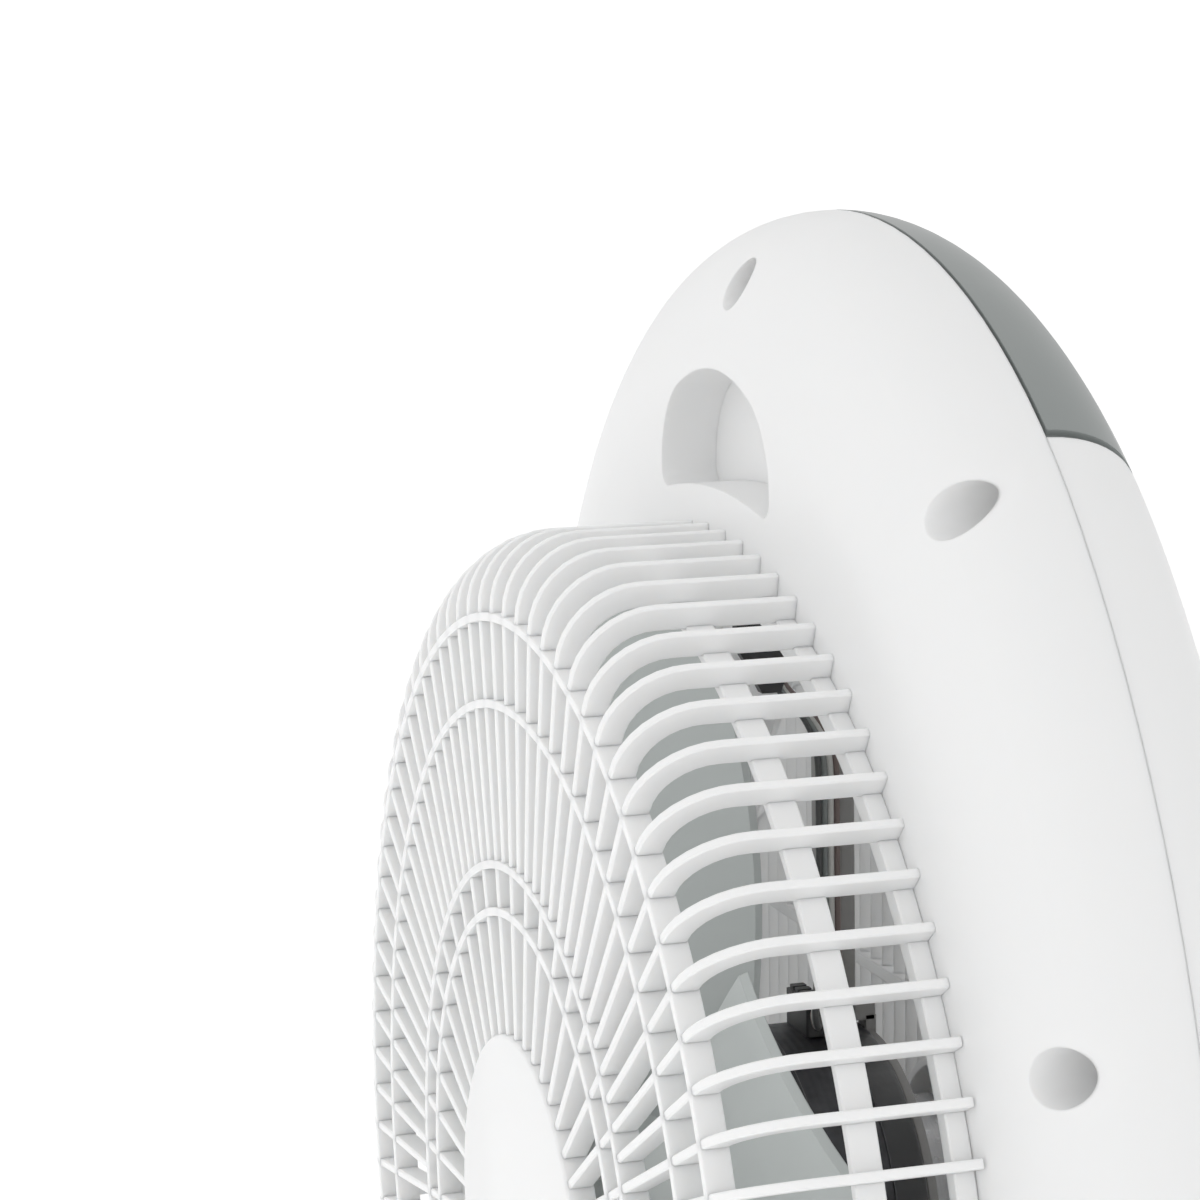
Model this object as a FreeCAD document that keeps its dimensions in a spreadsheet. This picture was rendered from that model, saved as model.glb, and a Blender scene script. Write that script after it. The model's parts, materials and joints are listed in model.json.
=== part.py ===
import FreeCAD, Part
import math
import os
import Sketcher
from FreeCAD import Placement, Rotation, Vector

# Box fan that stands on two feet. All lengths are in millimetres and all angles in degrees.
# +Y points to the rear, +Z is up, and the origin lies on the floor under the middle of the fan.
# The fan's axis is parallel to Y. Most pieces are drawn round it, in a frame whose origin is the
# point of the axis at the parting line between the front and the rear shell, and are then put
# in place together. In that frame an angle "from the top" is positive towards -X.

SIZES = [
    # outline of the housing at the parting line, as arcs that run into each other
    ("axis_height", 205, "height of the fan's axis above the floor"),
    ("top_arc_radius", 168.4, "arc over the top of the housing"),
    ("top_arc_up", 67, "centre of the top arc above the axis"),
    ("side_arc_offset", 72.4, "centre of a side arc, on the far side of the axis"),
    ("side_arc_up", 4, "centre of the side arcs above the axis"),
    ("base_corner_radius", 60, "arc between the side and the flat base"),
    ("base_drop", 191, "flat base of the housing below the axis"),
    # the two shells
    ("rear_depth", 32, "rear face behind the parting line"),
    ("rear_roll", 40, "width of the rolled edge of the rear shell"),
    ("front_depth", 30, "front face in front of the parting line"),
    ("front_roll", 35, "width of the rolled edge of the front shell"),
    ("shell_wall", 2.5, "wall of the mouldings"),
    ("seam_gap", 0.4, "gap between the two shells"),
    ("duct_radius", 153.8, "inside of the air duct"),
    ("duct_wall", 2.5, "wall of the air duct"),
    ("collar_rise", 5.8, "collar of the duct behind the rear face"),
    # hand pocket
    ("handle_low_radius", 173.6, "lower edge of the pocket, round the fan's axis"),
    ("handle_half_width", 37.2, "half the width of the pocket"),
    ("handle_top_up", 200.5, "top of the pocket above the axis"),
    ("handle_top_radius", 60, "arc over the top of the pocket"),
    ("handle_side_radius", 22, "arc at each end of the pocket"),
    ("handle_corner", 4, "rounding of the pocket's lower corners"),
    ("handle_depth", 11, "depth of the pocket"),
    # screw wells and the screws in them
    ("well_radius", 5.75, "recess of a screw in the rear shell"),
    ("well_wall", 1.8, "wall round the recess"),
    ("well_floor", 8, "floor of the recesses behind the parting line"),
    ("well_seat", 2.6, "thickness of the floor that the screw clamps"),
    ("well_1_inset", 16, "top well, from the outline"),
    ("well_2_angle", 31.8, "second wells, from the top"),
    ("well_2_inset", 9.1, "second wells, from the outline"),
    ("well_3_angle", 64.1, "third wells, from the top"),
    ("well_3_inset", 12.5, "third wells, from the outline"),
    ("well_4_angle", 108, "fourth wells, from the top"),
    ("well_4_inset", 12.5, "fourth wells, from the outline"),
    ("well_5_angle", 146, "lowest wells, from the top"),
    ("well_5_inset", 14, "lowest wells, from the outline"),
    ("pillar_radius", 4.5, "pillar that a housing screw bites into"),
    ("screw_radius", 1.6, "shank of the screws"),
    ("screw_head_radius", 3.4, "head of the screws"),
    ("screw_head_rise", 2.4, "height of the screw heads"),
    ("screw_length", 16, "shank under the head"),
    ("screw_clearance", 0.3, "play round a shank in a clamped piece"),
    ("pilot_clearance", 0.05, "play round a shank in its own bore"),
    # rear grille
    ("grille_radius", 165, "outer edge of the fins"),
    ("grille_rise", 49.2, "back of the fins behind the rear face"),
    ("fin_pairs", 44, "long fins, which reach the centre disc, with a short one after each"),
    ("first_fin_angle", -1.46, "first long fin, from the top"),
    ("fin_thickness", 2.4, "thickness of a fin"),
    ("fin_depth", 8.5, "depth of a fin, from its outer to its inner edge"),
    ("fin_corner", 18, "rounded corner of a fin"),
    ("hoop_1_radius", 145.5, "hoop at the corner of the drum"),
    ("hoop_2_radius", 125.4, "second hoop"),
    ("hoop_3_radius", 88.1, "hoop where every second fin ends"),
    ("hoop_4_radius", 77.1, "innermost hoop"),
    ("hoop_width", 2, "width of a hoop"),
    ("hoop_depth", 5, "depth of a hoop along the axis"),
    ("disc_radius", 48.7, "smooth disc at the centre of the grille"),
    ("disc_thickness", 2.5, "thickness of the disc"),
    ("disc_edge", 0.8, "bevel round the disc"),
    ("disc_skirt", 4, "rim behind the edge of the disc"),
    ("disc_proud", 0.8, "disc behind the backs of the fins"),
    ("band_low", 18, "band on the side of the drum, from the rear face"),
    ("band_width", 6.6, "width of the band"),
    ("band_wall", 2, "thickness of the band"),
    ("grille_seat", 0.2, "play between the fins and the collar that they sit on"),
    # control panel
    ("panel_half_angle", 40.9, "end of the panel, round the centre of the top arc"),
    ("panel_low_radius", 163, "lower edge of the panel, round the fan's axis"),
    ("panel_seam", 0.8, "panel short of the parting line"),
    ("panel_gap", 0.4, "gap between the panel and the front shell"),
    ("panel_bevel", 1.6, "bevel at the ends of the panel"),
    ("control_radius", 182, "knobs and button from the fan's axis"),
    ("knob_angle", 15, "knobs, from the top"),
    ("knob_radius", 15, "foot of a knob"),
    ("knob_top_radius", 12.6, "face of a knob"),
    ("knob_rise", 15, "height of a knob"),
    ("knob_gap", 0.6, "gap between a knob and the panel"),
    ("knob_wall", 1.8, "wall of a knob"),
    ("knob_edge", 1, "bevel of the knobs and the button"),
    ("grip_width", 4.4, "bar across the face of a knob"),
    ("grip_rise", 3.2, "height of that bar"),
    ("spindle_radius", 3, "spindle of a knob"),
    ("spindle_play", 0.05, "running clearance of a spindle"),
    ("spindle_hole_play", 0.6, "play of a spindle in the panel"),
    ("spindle_depth", 10, "spindle inside its switch"),
    ("switch_width", 26, "body of the speed switch, across"),
    ("switch_height", 20, "body of the speed switch, upright"),
    ("switch_depth", 17, "body of the speed switch, along the axis"),
    ("timer_radius", 14.5, "round body of the timer"),
    ("timer_depth", 24, "body of the timer along the axis"),
    ("button_radius", 5, "push button"),
    ("button_rise", 4, "button in front of the panel"),
    ("button_play", 0.35, "gap round the button"),
    ("button_travel", 2.5, "travel of the button"),
    ("button_flange", 1.6, "flange that keeps the button in"),
    ("button_stem_seat", 2, "stem inside the push switch"),
    ("button_stem_radius", 2, "stem of the button"),
    ("push_switch_side", 12, "body of the push switch, square"),
    ("push_switch_depth", 12, "body of the push switch along the axis"),
    ("capacitor_angle", 36, "capacitor, from the top"),
    ("capacitor_radius", 169.6, "capacitor, from the fan's axis"),
    ("capacitor_width", 26, "capacitor, across"),
    ("capacitor_height", 14, "capacitor, upright"),
    ("capacitor_depth", 16, "capacitor along the axis"),
    # motor
    ("motor_front", -11, "front of the motor, from the parting line"),
    ("motor_radius", 45, "outside of the motor"),
    ("bell_depth", 12, "depth of an end bell"),
    ("bell_wall", 1.6, "wall of an end bell"),
    ("bell_corner", 5, "rounded shoulder of an end bell"),
    ("vent_count", 8, "vents in the end of a bell"),
    ("vent_width", 5, "width of a vent"),
    ("vent_inner_radius", 14, "inner end of a vent"),
    ("vent_outer_radius", 30, "outer end of a vent"),
    ("stack_length", 16, "laminated core between the bells"),
    ("slot_radius", 19.2, "bore of the core"),
    ("air_gap", 0.5, "gap between the core and the rotor"),
    ("coil_inner_radius", 24, "inside of the windings"),
    ("coil_outer_radius", 33, "outside of the windings"),
    ("coil_depth", 7, "windings beyond the core"),
    ("coil_gap", 0.3, "play between the windings and the core"),
    ("rotor_overhang", 1.5, "rotor beyond the core"),
    ("shaft_radius", 4, "motor shaft"),
    ("shaft_play", 0.05, "running clearance of the shafts"),
    ("shaft_end_gap", 2, "end of a shaft short of what it points at"),
    ("bush_radius", 7.5, "outside of a bearing bush"),
    ("bush_length", 8, "length of a bearing bush"),
    ("stud_circle", 36.5, "screws that clamp the motor, from the axis"),
    ("stud_head", 2.2, "height of their heads"),
    # bracket that carries the motor
    ("bracket_plate_radius", 47, "plate of the bracket"),
    ("bracket_thickness", 3, "plate of the bracket"),
    ("arm_width", 12, "arm of the bracket"),
    ("arm_depth", 7, "depth of an arm along the axis"),
    ("arm_clearance", 4, "inner end of an arm outside the studs"),
    ("arm_web", 2.4, "walls of an arm's channel"),
    ("arm_end_gap", 0.4, "arm short of the duct wall"),
    ("ledge_radius", 144, "ledges on the duct that carry the arms"),
    ("ledge_width", 15, "width of a ledge"),
    ("ledge_depth", 9, "depth of a ledge along the axis"),
    ("ledge_screw_radius", 148.6, "bracket screws from the axis"),
    # blade
    ("blade_count", 5, "blades"),
    ("blade_tip_radius", 148, "tip of the blades"),
    ("blade_thickness", 2.2, "thickness of a blade"),
    ("blade_mid", 51, "middle of the blades behind the parting line"),
    ("blade_root_chord", 44, "chord of a blade at the hub"),
    ("blade_tip_chord", 84, "chord of a blade at the tip"),
    ("blade_root_pitch", 37, "pitch of a blade at the hub"),
    ("blade_tip_pitch", 19, "pitch of a blade at the tip"),
    ("blade_camber", 0.09, "rise of a blade's curve per chord"),
    ("blade_sweep", 20, "forward sweep of the tip"),
    ("hub_radius", 34, "hub of the blades"),
    ("hub_front", 32.5, "open end of the hub behind the parting line"),
    ("hub_length", 25, "length of the hub"),
    ("hub_wall", 2.4, "wall of the hub"),
    ("hub_boss_radius", 9, "boss of the hub on the shaft"),
    ("nut_radius", 13, "knob that clamps the blade"),
    ("nut_length", 9, "length of that knob"),
    ("nut_cap", 2, "closed end of that knob"),
    ("nut_edge", 1.5, "bevel of that knob"),
    ("nut_flute", 2.4, "radius of a flute"),
    ("nut_flute_count", 10, "flutes round that knob"),
    # rotating front grille
    ("louvre_radius", 151.4, "outside of the rotating grille"),
    ("louvre_back", 25, "back of the rotating grille in front of the parting line"),
    ("louvre_depth", 9, "depth of the rotating grille"),
    ("louvre_rim", 2.6, "rim of the rotating grille"),
    ("slat_pitch", 7.6, "distance between slats"),
    ("slat_thickness", 1.5, "thickness of a slat"),
    ("slat_tilt", 30, "tilt of a slat"),
    ("louvre_hub_radius", 33, "hub of the rotating grille"),
    ("tie_width", 3, "bars that tie the slats"),
    ("tie_spacing", 88, "distance between those bars"),
    ("cap_radius", 31, "cap on the hub"),
    ("cap_rise", 8, "height of the cap"),
    ("cap_edge", 2.6, "straight edge of the cap"),
    ("louvre_motor_radius", 24.5, "motor of the rotating grille"),
    ("louvre_motor_depth", 9.5, "its depth along the axis"),
    ("louvre_shaft_radius", 3, "its shaft"),
    ("louvre_boss_radius", 7, "boss in the hub, on that shaft"),
    ("louvre_boss_gap", 0.4, "gap between the boss and the motor"),
    # feet
    ("foot_inner", 50, "inner side of a foot from the middle"),
    ("foot_outer", 104, "outer side of a foot from the middle"),
    ("foot_front", 58, "foot in front of the parting line"),
    ("foot_rear", 64, "foot behind the parting line"),
    ("foot_corner", 16, "rounded corners of a foot"),
    ("toe_drop", 5, "ends of a foot below the housing"),
    ("horn_reach", 27, "top of the cradle from the parting line"),
    ("horn_rise", 13, "cradle above the base of the housing"),
    ("foot_play", 0.25, "play between a foot and the housing"),
    ("foot_recess", 3.4, "recess of a foot screw"),
    ("pad_radius", 9, "rubber pad"),
    ("pad_thickness", 3, "rubber pad"),
    ("pad_inset", 16, "centre of a pad from the ends of the foot"),
    ("foot_screw_x", 66, "foot screws from the middle"),
    ("foot_screw_y", 14, "foot screws from the parting line"),
    ("foot_screw_length", 16, "shank of a foot screw"),
    ("boss_height", 16, "bosses of the foot screws, above the base"),
    # cord inlet
    ("inlet_angle", 168, "cord inlet, from the top"),
    ("inlet_inset", 19, "cord inlet, from the outline"),
    ("inlet_flange_radius", 7, "flange of the bush"),
    ("inlet_flange", 2, "thickness of the flange"),
    ("inlet_neck_radius", 5, "neck of the bush"),
    ("inlet_bore_radius", 3.3, "bore for the cord"),
    ("inlet_floor", 16, "floor that the bush sits in, behind the parting line"),
]

doc = FreeCAD.newDocument("box_fan")
sheet = doc.addObject("Spreadsheet::Sheet", "sizes")
for row, (alias, value, meaning) in enumerate(SIZES, start=1):
    sheet.set(f"A{row}", alias)
    sheet.set(f"B{row}", str(value))
    sheet.set(f"C{row}", meaning)
    sheet.setAlias(f"B{row}", alias)
doc.recompute()


class Bound:
    """A number together with the spreadsheet expression that gives it."""

    def __init__(self, number, text):
        self.number = number
        self.text = text

    def __add__(self, other):
        return Bound(self.number + bound(other).number, f"({self.text} + {bound(other).text})")

    def __sub__(self, other):
        return Bound(self.number - bound(other).number, f"({self.text} - {bound(other).text})")

    def __mul__(self, other):
        return Bound(self.number * bound(other).number, f"{self.text} * {bound(other).text}")

    def __truediv__(self, other):
        return Bound(self.number / bound(other).number, f"{self.text} / {bound(other).text}")

    def __neg__(self):
        return Bound(-self.number, f"(0 - {self.text})")

    def __float__(self):
        return self.number


def bound(value):
    return value if isinstance(value, Bound) else Bound(float(value), str(float(value)))


def sine(angle):
    return Bound(math.sin(math.radians(angle.number)), f"sin({angle.text})")


def cosine(angle):
    return Bound(math.cos(math.radians(angle.number)), f"cos({angle.text})")


class Sheet:
    """Reads a driving dimension as an attribute, for use in features and in free shapes alike."""

    def __getattr__(self, alias):
        return Bound(float(sheet.get(alias)), f"sizes.{alias}")


S = Sheet()
SUBPARTS = []
REARWARD = Vector(0, 1, 0)
GRILLE_BACK = S.rear_depth + S.grille_rise
FLOOR_SPOT = (bound(0), (S.foot_front - GRILLE_BACK - S.disc_proud) / 2, bound(0))
ON_AXIS = (bound(0), FLOOR_SPOT[1], S.axis_height)


# ---------------------------------------------------------------- helpers for PartDesign bodies


def new_body(label, spot=ON_AXIS):
    """An empty body whose origin is at spot."""
    body = doc.addObject("PartDesign::Body", label)
    body.Label = label
    for key, value in zip("xyz", spot):
        body.setExpression(f"Placement.Base.{key}", value.text)
    SUBPARTS.append(body)
    return body


def origin_feature(body, role):
    return next(f for f in body.Origin.OriginFeatures if f.Role == role)


def new_sketch(body, name, role, offset=bound(0), turn=bound(0)):
    """Sketch on an origin plane of its body, shifted along the normal and turned in the plane."""
    sketch = body.newObject("Sketcher::SketchObject", name)
    sketch.AttachmentSupport = [(origin_feature(body, role), "")]
    sketch.MapMode = "FlatFace"
    turning = Rotation(Vector(0, 0, 1), turn.number)
    sketch.AttachmentOffset = Placement(Vector(0, 0, offset.number), turning)
    sketch.setExpression("AttachmentOffset.Base.z", offset.text)
    sketch.setExpression("AttachmentOffset.Rotation.Angle", f"{turn.text} * 1 deg")
    return sketch


def bind_point(sketch, geometry, point, x, y):
    """Ties a point of a sketch to its two coordinates."""
    for kind, value, axis in (("DistanceX", bound(x), -2), ("DistanceY", bound(y), -1)):
        if value.number == 0:
            sketch.addConstraint(Sketcher.Constraint("PointOnObject", geometry, point, axis))
            continue
        index = sketch.addConstraint(
            Sketcher.Constraint(kind, -1, 1, geometry, point, value.number)
        )
        sketch.setExpression(f"Constraints[{index}]", value.text)


def polygon(sketch, corners):
    """Closed straight outline. Each corner is a pair of lengths tied to the sheet."""
    points = [Vector(float(x), float(y), 0) for x, y in corners]
    first = sketch.GeometryCount
    for start, end in zip(points, points[1:] + points[:1]):
        sketch.addGeometry(Part.LineSegment(start, end), False)
    for i, (x, y) in enumerate(corners):
        before = first + (i - 1) % len(corners)
        bind_point(sketch, first + i, 1, x, y)
        sketch.addConstraint(Sketcher.Constraint("Coincident", before, 2, first + i, 1))


def circle(sketch, radius, x=0, y=0):
    """Circle tied to the sheet by its radius and its centre."""
    centre = Vector(float(x), float(y), 0)
    ring_line = Part.Circle(centre, Vector(0, 0, 1), float(radius))
    index = sketch.addGeometry(ring_line, False)
    width = sketch.addConstraint(Sketcher.Constraint("Radius", index, float(radius)))
    sketch.setExpression(f"Constraints[{width}]", bound(radius).text)
    bind_point(sketch, index, 3, x, y)


def turned(body, name, *outlines):
    """Piece turned round the body's Y axis. A corner is a pair: position along Y, radius."""
    sketch = new_sketch(body, name + "_outline", "YZ_Plane")
    for outline in outlines:
        polygon(sketch, outline)
    feature = body.newObject("PartDesign::Revolution", name)
    feature.Profile = sketch
    feature.ReferenceAxis = (origin_feature(body, "Y_Axis"), [""])
    feature.Angle = 360
    body.Tip = feature
    return feature


def tube(start, end, inner, outer):
    """Outline of a ring for turned()."""
    return [(start, inner), (end, inner), (end, outer), (start, outer)]


def extruded(body, name, draw, start, length, turn=bound(0)):
    """Pad along +Y from start. draw(sketch) puts its outline in the X-Z plane."""
    sketch = new_sketch(body, name + "_outline", "XZ_Plane", -bound(start), turn)
    draw(sketch)
    feature = body.newObject("PartDesign::Pad", name)
    feature.Profile = sketch
    feature.setExpression("Length", bound(length).text)
    feature.Reversed = True
    body.Tip = feature
    return feature


def bored(body, name, draw, start, length, turn=bound(0)):
    """Pocket along +Y from start. draw(sketch) puts its outline in the X-Z plane."""
    doc.recompute()
    before = body.Tip.Shape.Volume
    sketch = new_sketch(body, name + "_outline", "XZ_Plane", -bound(start), turn)
    draw(sketch)
    feature = body.newObject("PartDesign::Pocket", name)
    feature.Profile = sketch
    feature.setExpression("Length", bound(length).text)
    body.Tip = feature
    doc.recompute()
    if feature.Shape.Volume > before - 1e-6:
        feature.Reversed = True
        doc.recompute()
    if feature.Shape.Volume > before - 1e-6:
        raise RuntimeError(f"{name} cuts nothing from {body.Label}")
    return feature


def repeated(body, name, feature, count):
    """Copies of a feature, evenly spaced round the body's Y axis."""
    pattern = body.newObject("PartDesign::PolarPattern", name)
    pattern.Originals = [feature]
    pattern.Axis = (origin_feature(body, "Y_Axis"), [""])
    pattern.Angle = 360
    pattern.setExpression("Occurrences", bound(count).text)
    body.Tip = pattern
    return pattern


# ---------------------------------------------------------------- helpers for freely shaped solids


def new_shape(label, shape, spot=ON_AXIS):
    """Sub-part whose form no parametric feature gives."""
    feature = doc.addObject("Part::Feature", label)
    feature.Label = label
    feature.Shape = shape
    place = Placement(Vector(*[float(value) for value in spot]), Rotation())
    feature.Placement = place.multiply(shape.Placement)
    SUBPARTS.append(feature)
    return feature


def cylinder(radius, start, end, x=0.0, z=0.0):
    """Cylinder along Y from start to end."""
    return Part.makeCylinder(
        float(radius), float(end) - float(start), Vector(x, float(start), z), REARWARD
    )


def post(radius, x, y, low, high):
    """Upright cylinder from low to high."""
    return Part.makeCylinder(float(radius), float(high) - float(low), Vector(x, y, float(low)))


def ring(inner, outer, start, end):
    return cylinder(outer, start, end).cut(cylinder(inner, float(start) - 1, float(end) + 1))


def block(x_span, y_span, z_span):
    """Box between the two values of each span."""
    low, high = zip(*[sorted(float(v) for v in span) for span in (x_span, y_span, z_span)])
    return Part.makeBox(*[b - a for a, b in zip(low, high)], Vector(*low))


def around(angle, radius):
    """Point at an angle from the top and a radius, round the fan's axis."""
    turn = math.radians(float(angle))
    return Vector(-float(radius) * math.sin(turn), 0, float(radius) * math.cos(turn))


def turned_about_axis(shape, angle):
    """Copy of shape turned round the fan's axis by an angle from the top."""
    copy = shape.copy()
    copy.rotate(Vector(0, 0, 0), REARWARD, -float(angle))
    return copy


def raised(face, start, end):
    """Face of the X-Z plane extruded from start to end along Y."""
    copy = face.copy()
    copy.translate(Vector(0, float(start), 0))
    return copy.extrude(Vector(0, float(end) - float(start), 0))


def on_circle(centre, radius, angle):
    """Point of a circle in the X-Z plane; the angle runs from +X towards +Z."""
    turn = math.radians(angle)
    return centre + Vector(radius * math.cos(turn), 0, radius * math.sin(turn))


def arc(centre, radius, start, end):
    points = [on_circle(centre, radius, angle) for angle in (start, (start + end) / 2, end)]
    return Part.Arc(*points).toShape()


def face_inside(edges):
    return Part.Face(Part.Wire(Part.__sortEdges__(edges)))


def mirrored(shape):
    """Copy of shape on the other side of the fan."""
    return shape.mirror(Vector(0, 0, 0), Vector(1, 0, 0))


# ---------------------------------------------------------------- form of the housing

BASE = -float(S.base_drop)
REAR = float(S.rear_depth)
FRONT = -float(S.front_depth)
WALL = float(S.shell_wall)
SEAM = float(S.seam_gap) / 2
DUCT = float(S.duct_radius)
DUCT_OUTSIDE = float(S.duct_radius + S.duct_wall)
FAR = 2 * float(S.axis_height)


def housing_arcs():
    """Arcs of the outline from the right base corner over the top: centre, radius, two angles."""
    top_centre = Vector(0, 0, float(S.top_arc_up))
    side_centre = Vector(-float(S.side_arc_offset), 0, float(S.side_arc_up))
    to_top = top_centre - side_centre
    side_radius = float(S.top_arc_radius) + to_top.Length
    join = math.degrees(math.atan2(to_top.z, to_top.x))
    corner = float(S.base_corner_radius)
    drop = side_centre.z - (BASE + corner)
    reach = math.sqrt((side_radius - corner) ** 2 - drop**2)
    corner_centre = Vector(side_centre.x + reach, 0, BASE + corner)
    low = -math.degrees(math.atan2(drop, reach))
    left_side = Vector(-side_centre.x, 0, side_centre.z)
    left_corner = Vector(-corner_centre.x, 0, corner_centre.z)
    return [
        (corner_centre, corner, -90, low),
        (side_centre, side_radius, low, join),
        (top_centre, float(S.top_arc_radius), join, 180 - join),
        (left_side, side_radius, 180 - join, 180 - low),
        (left_corner, corner, 180 - low, 270),
    ]


def housing_face(inset):
    """Flat face inside the outline, drawn in by inset."""
    edges = [arc(centre, radius - inset, start, end) for centre, radius, start, end in housing_arcs()]
    edges.append(Part.makeLine(edges[-1].Vertexes[-1].Point, edges[0].Vertexes[0].Point))
    return face_inside(edges)


def edge_section(rim, outward, side, depth, roll):
    """Section of the rolled edge: two tangent arcs, close to a quarter of an ellipse."""
    rear = Vector(0, side, 0)
    slant = math.hypot(roll, depth)
    rim_radius = slant * (slant - (roll - depth)) / (2 * roll)
    crown_radius = slant * (slant + (roll - depth)) / (2 * depth)
    foot = rim - outward * roll
    crown = foot + rear * depth
    rim_centre = rim - outward * rim_radius
    crown_centre = crown - rear * crown_radius
    to_join = (rim_centre - crown_centre).normalize()
    join = rim_centre + to_join * rim_radius
    rim_middle = rim_centre + (to_join + outward).normalize() * rim_radius
    crown_middle = crown_centre + (to_join + rear).normalize() * crown_radius
    edges = [
        Part.Arc(rim, rim_middle, join).toShape(),
        Part.Arc(join, crown_middle, crown).toShape(),
        Part.makeLine(crown, foot),
        Part.makeLine(foot, rim),
    ]
    return Part.Face(Part.Wire(edges))


def rolled_form(side, depth, roll, inset):
    """Solid of the housing's outline whose flat face rolls over to the parting line."""
    pieces = [housing_face(inset + roll).extrude(Vector(0, side * depth, 0))]
    arcs = housing_arcs()
    for centre, radius, start, end in arcs:
        outward = on_circle(Vector(0, 0, 0), 1, start)
        rim = on_circle(centre, radius - inset, start)
        section = edge_section(rim, outward, side, depth, roll)
        pieces.append(section.revolve(centre, REARWARD * -1, end - start))
    half_base = arcs[0][0].x
    section = edge_section(Vector(-half_base, 0, BASE + inset), Vector(0, 0, -1), side, depth, roll)
    pieces.append(section.extrude(Vector(2 * half_base, 0, 0)))
    return pieces[0].multiFuse(pieces[1:]).removeSplitter()


def outline_reach(angle):
    """Distance from the fan's axis to the outline at an angle from the top."""
    ray = Part.makeLine(Vector(0, 0, 0), around(angle, FAR))
    return ray.common(housing_face(0)).Length


def inset_point(angle, inset):
    return around(angle, outline_reach(angle) - float(inset))


def well_points():
    """Centres of the screw wells: the top one, then four pairs down the sides."""
    points = [inset_point(0, S.well_1_inset)]
    for angle, inset in (
        (S.well_2_angle, S.well_2_inset),
        (S.well_3_angle, S.well_3_inset),
        (S.well_4_angle, S.well_4_inset),
        (S.well_5_angle, S.well_5_inset),
    ):
        points += [inset_point(float(angle), inset), inset_point(-float(angle), inset)]
    return points


WELLS = well_points()
WELL_BOTTOM = float(S.well_floor - S.well_seat)
SHANK_HOLE = float(S.screw_radius + S.screw_clearance)
PILOT_HOLE = float(S.screw_radius + S.pilot_clearance)
SCREW_TIP = float(S.well_floor - S.screw_length)
INLET = inset_point(S.inlet_angle, S.inlet_inset)
ARM_BACK = float(S.motor_front)
ARM_ANGLES = [45, 135, 225, 315]
FOOT_SCREW_SPOTS = [
    (side * float(S.foot_screw_x), way * float(S.foot_screw_y)) for side in (-1, 1) for way in (-1, 1)
]


def screw_along_axis(x, z, seat, length):
    """Screw whose head stands behind seat and whose shank runs forward from it."""
    head = cylinder(S.screw_head_radius, seat, seat + float(S.screw_head_rise), x, z)
    return head.fuse(cylinder(S.screw_radius, seat - float(length), seat, x, z))


# ---------------------------------------------------------------- rear shell


def handle_face():
    """Outline of the hand pocket: arched above, and round the grille along its lower edge."""
    top_radius = float(S.handle_top_radius)
    side_radius = float(S.handle_side_radius)
    half = float(S.handle_half_width)
    corner = float(S.handle_corner)
    top_centre = Vector(0, 0, float(S.handle_top_up) - top_radius)
    side_x = half - side_radius
    side_up = top_centre.z + math.sqrt((top_radius - side_radius) ** 2 - side_x**2)
    side_centre = Vector(side_x, 0, side_up)
    join = math.degrees(math.atan2(side_up - top_centre.z, side_x))
    foot = Vector(half, 0, top_centre.z)
    right = [
        Part.makeLine(foot, on_circle(side_centre, side_radius, 0)),
        arc(side_centre, side_radius, 0, join),
    ]
    left = [mirrored(edge) for edge in right]
    top = arc(top_centre, top_radius, join, 180 - join)
    low = Part.makeLine(foot, Vector(-half, 0, top_centre.z))
    arch = face_inside(right + left + [top, low])
    low_disc = Part.Face(
        Part.Wire(Part.makeCircle(float(S.handle_low_radius), Vector(0, 0, 0), REARWARD))
    )
    sharp = arch.cut(low_disc).Faces[0]
    return sharp.makeOffset2D(-corner).makeOffset2D(corner)


def rear_housing():
    """Rear shell with its duct and collar, the hand pocket, the screw wells and the cord's inlet."""
    outside = rolled_form(1, REAR, float(S.rear_roll), 0)
    inside = rolled_form(1, REAR - WALL, float(S.rear_roll) - WALL, WALL)
    pocket = handle_face()
    pocket_floor = REAR - float(S.handle_depth)
    well_tube = float(S.well_radius + S.well_wall)
    inlet_recess = float(S.inlet_flange_radius + S.screw_clearance)
    inlet_floor = float(S.inlet_floor)
    added = [raised(pocket.makeOffset2D(WALL), pocket_floor - WALL, REAR)]
    added += [cylinder(well_tube, WELL_BOTTOM, REAR, p.x, p.z) for p in WELLS]
    added.append(
        cylinder(inlet_recess + float(S.well_wall), inlet_floor - WALL, REAR, INLET.x, INLET.z)
    )
    added += [
        post(S.pillar_radius, x, y, BASE, BASE + float(S.boss_height))
        for x, y in FOOT_SCREW_SPOTS
        if y > 0
    ]
    shell = outside.cut(inside).multiFuse([piece.common(outside) for piece in added])
    shell = shell.fuse(ring(DUCT, DUCT_OUTSIDE, 0, REAR + float(S.collar_rise)))
    cuts = [cylinder(DUCT, -1, 2 * REAR), raised(pocket, pocket_floor, 2 * REAR)]
    for p in WELLS:
        cuts.append(cylinder(S.well_radius, S.well_floor, 2 * REAR, p.x, p.z))
        cuts.append(cylinder(SHANK_HOLE, 0, REAR, p.x, p.z))
    cuts.append(cylinder(inlet_recess, inlet_floor, 2 * REAR, INLET.x, INLET.z))
    cuts.append(cylinder(S.inlet_neck_radius + S.screw_clearance, 0, REAR, INLET.x, INLET.z))
    cuts += [
        post(PILOT_HOLE, x, y, BASE - 1, BASE + float(S.boss_height) + 1)
        for x, y in FOOT_SCREW_SPOTS
    ]
    cuts.append(block((-FAR, FAR), (-1, SEAM), (-FAR, FAR)))
    return shell.cut(cuts)


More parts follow.
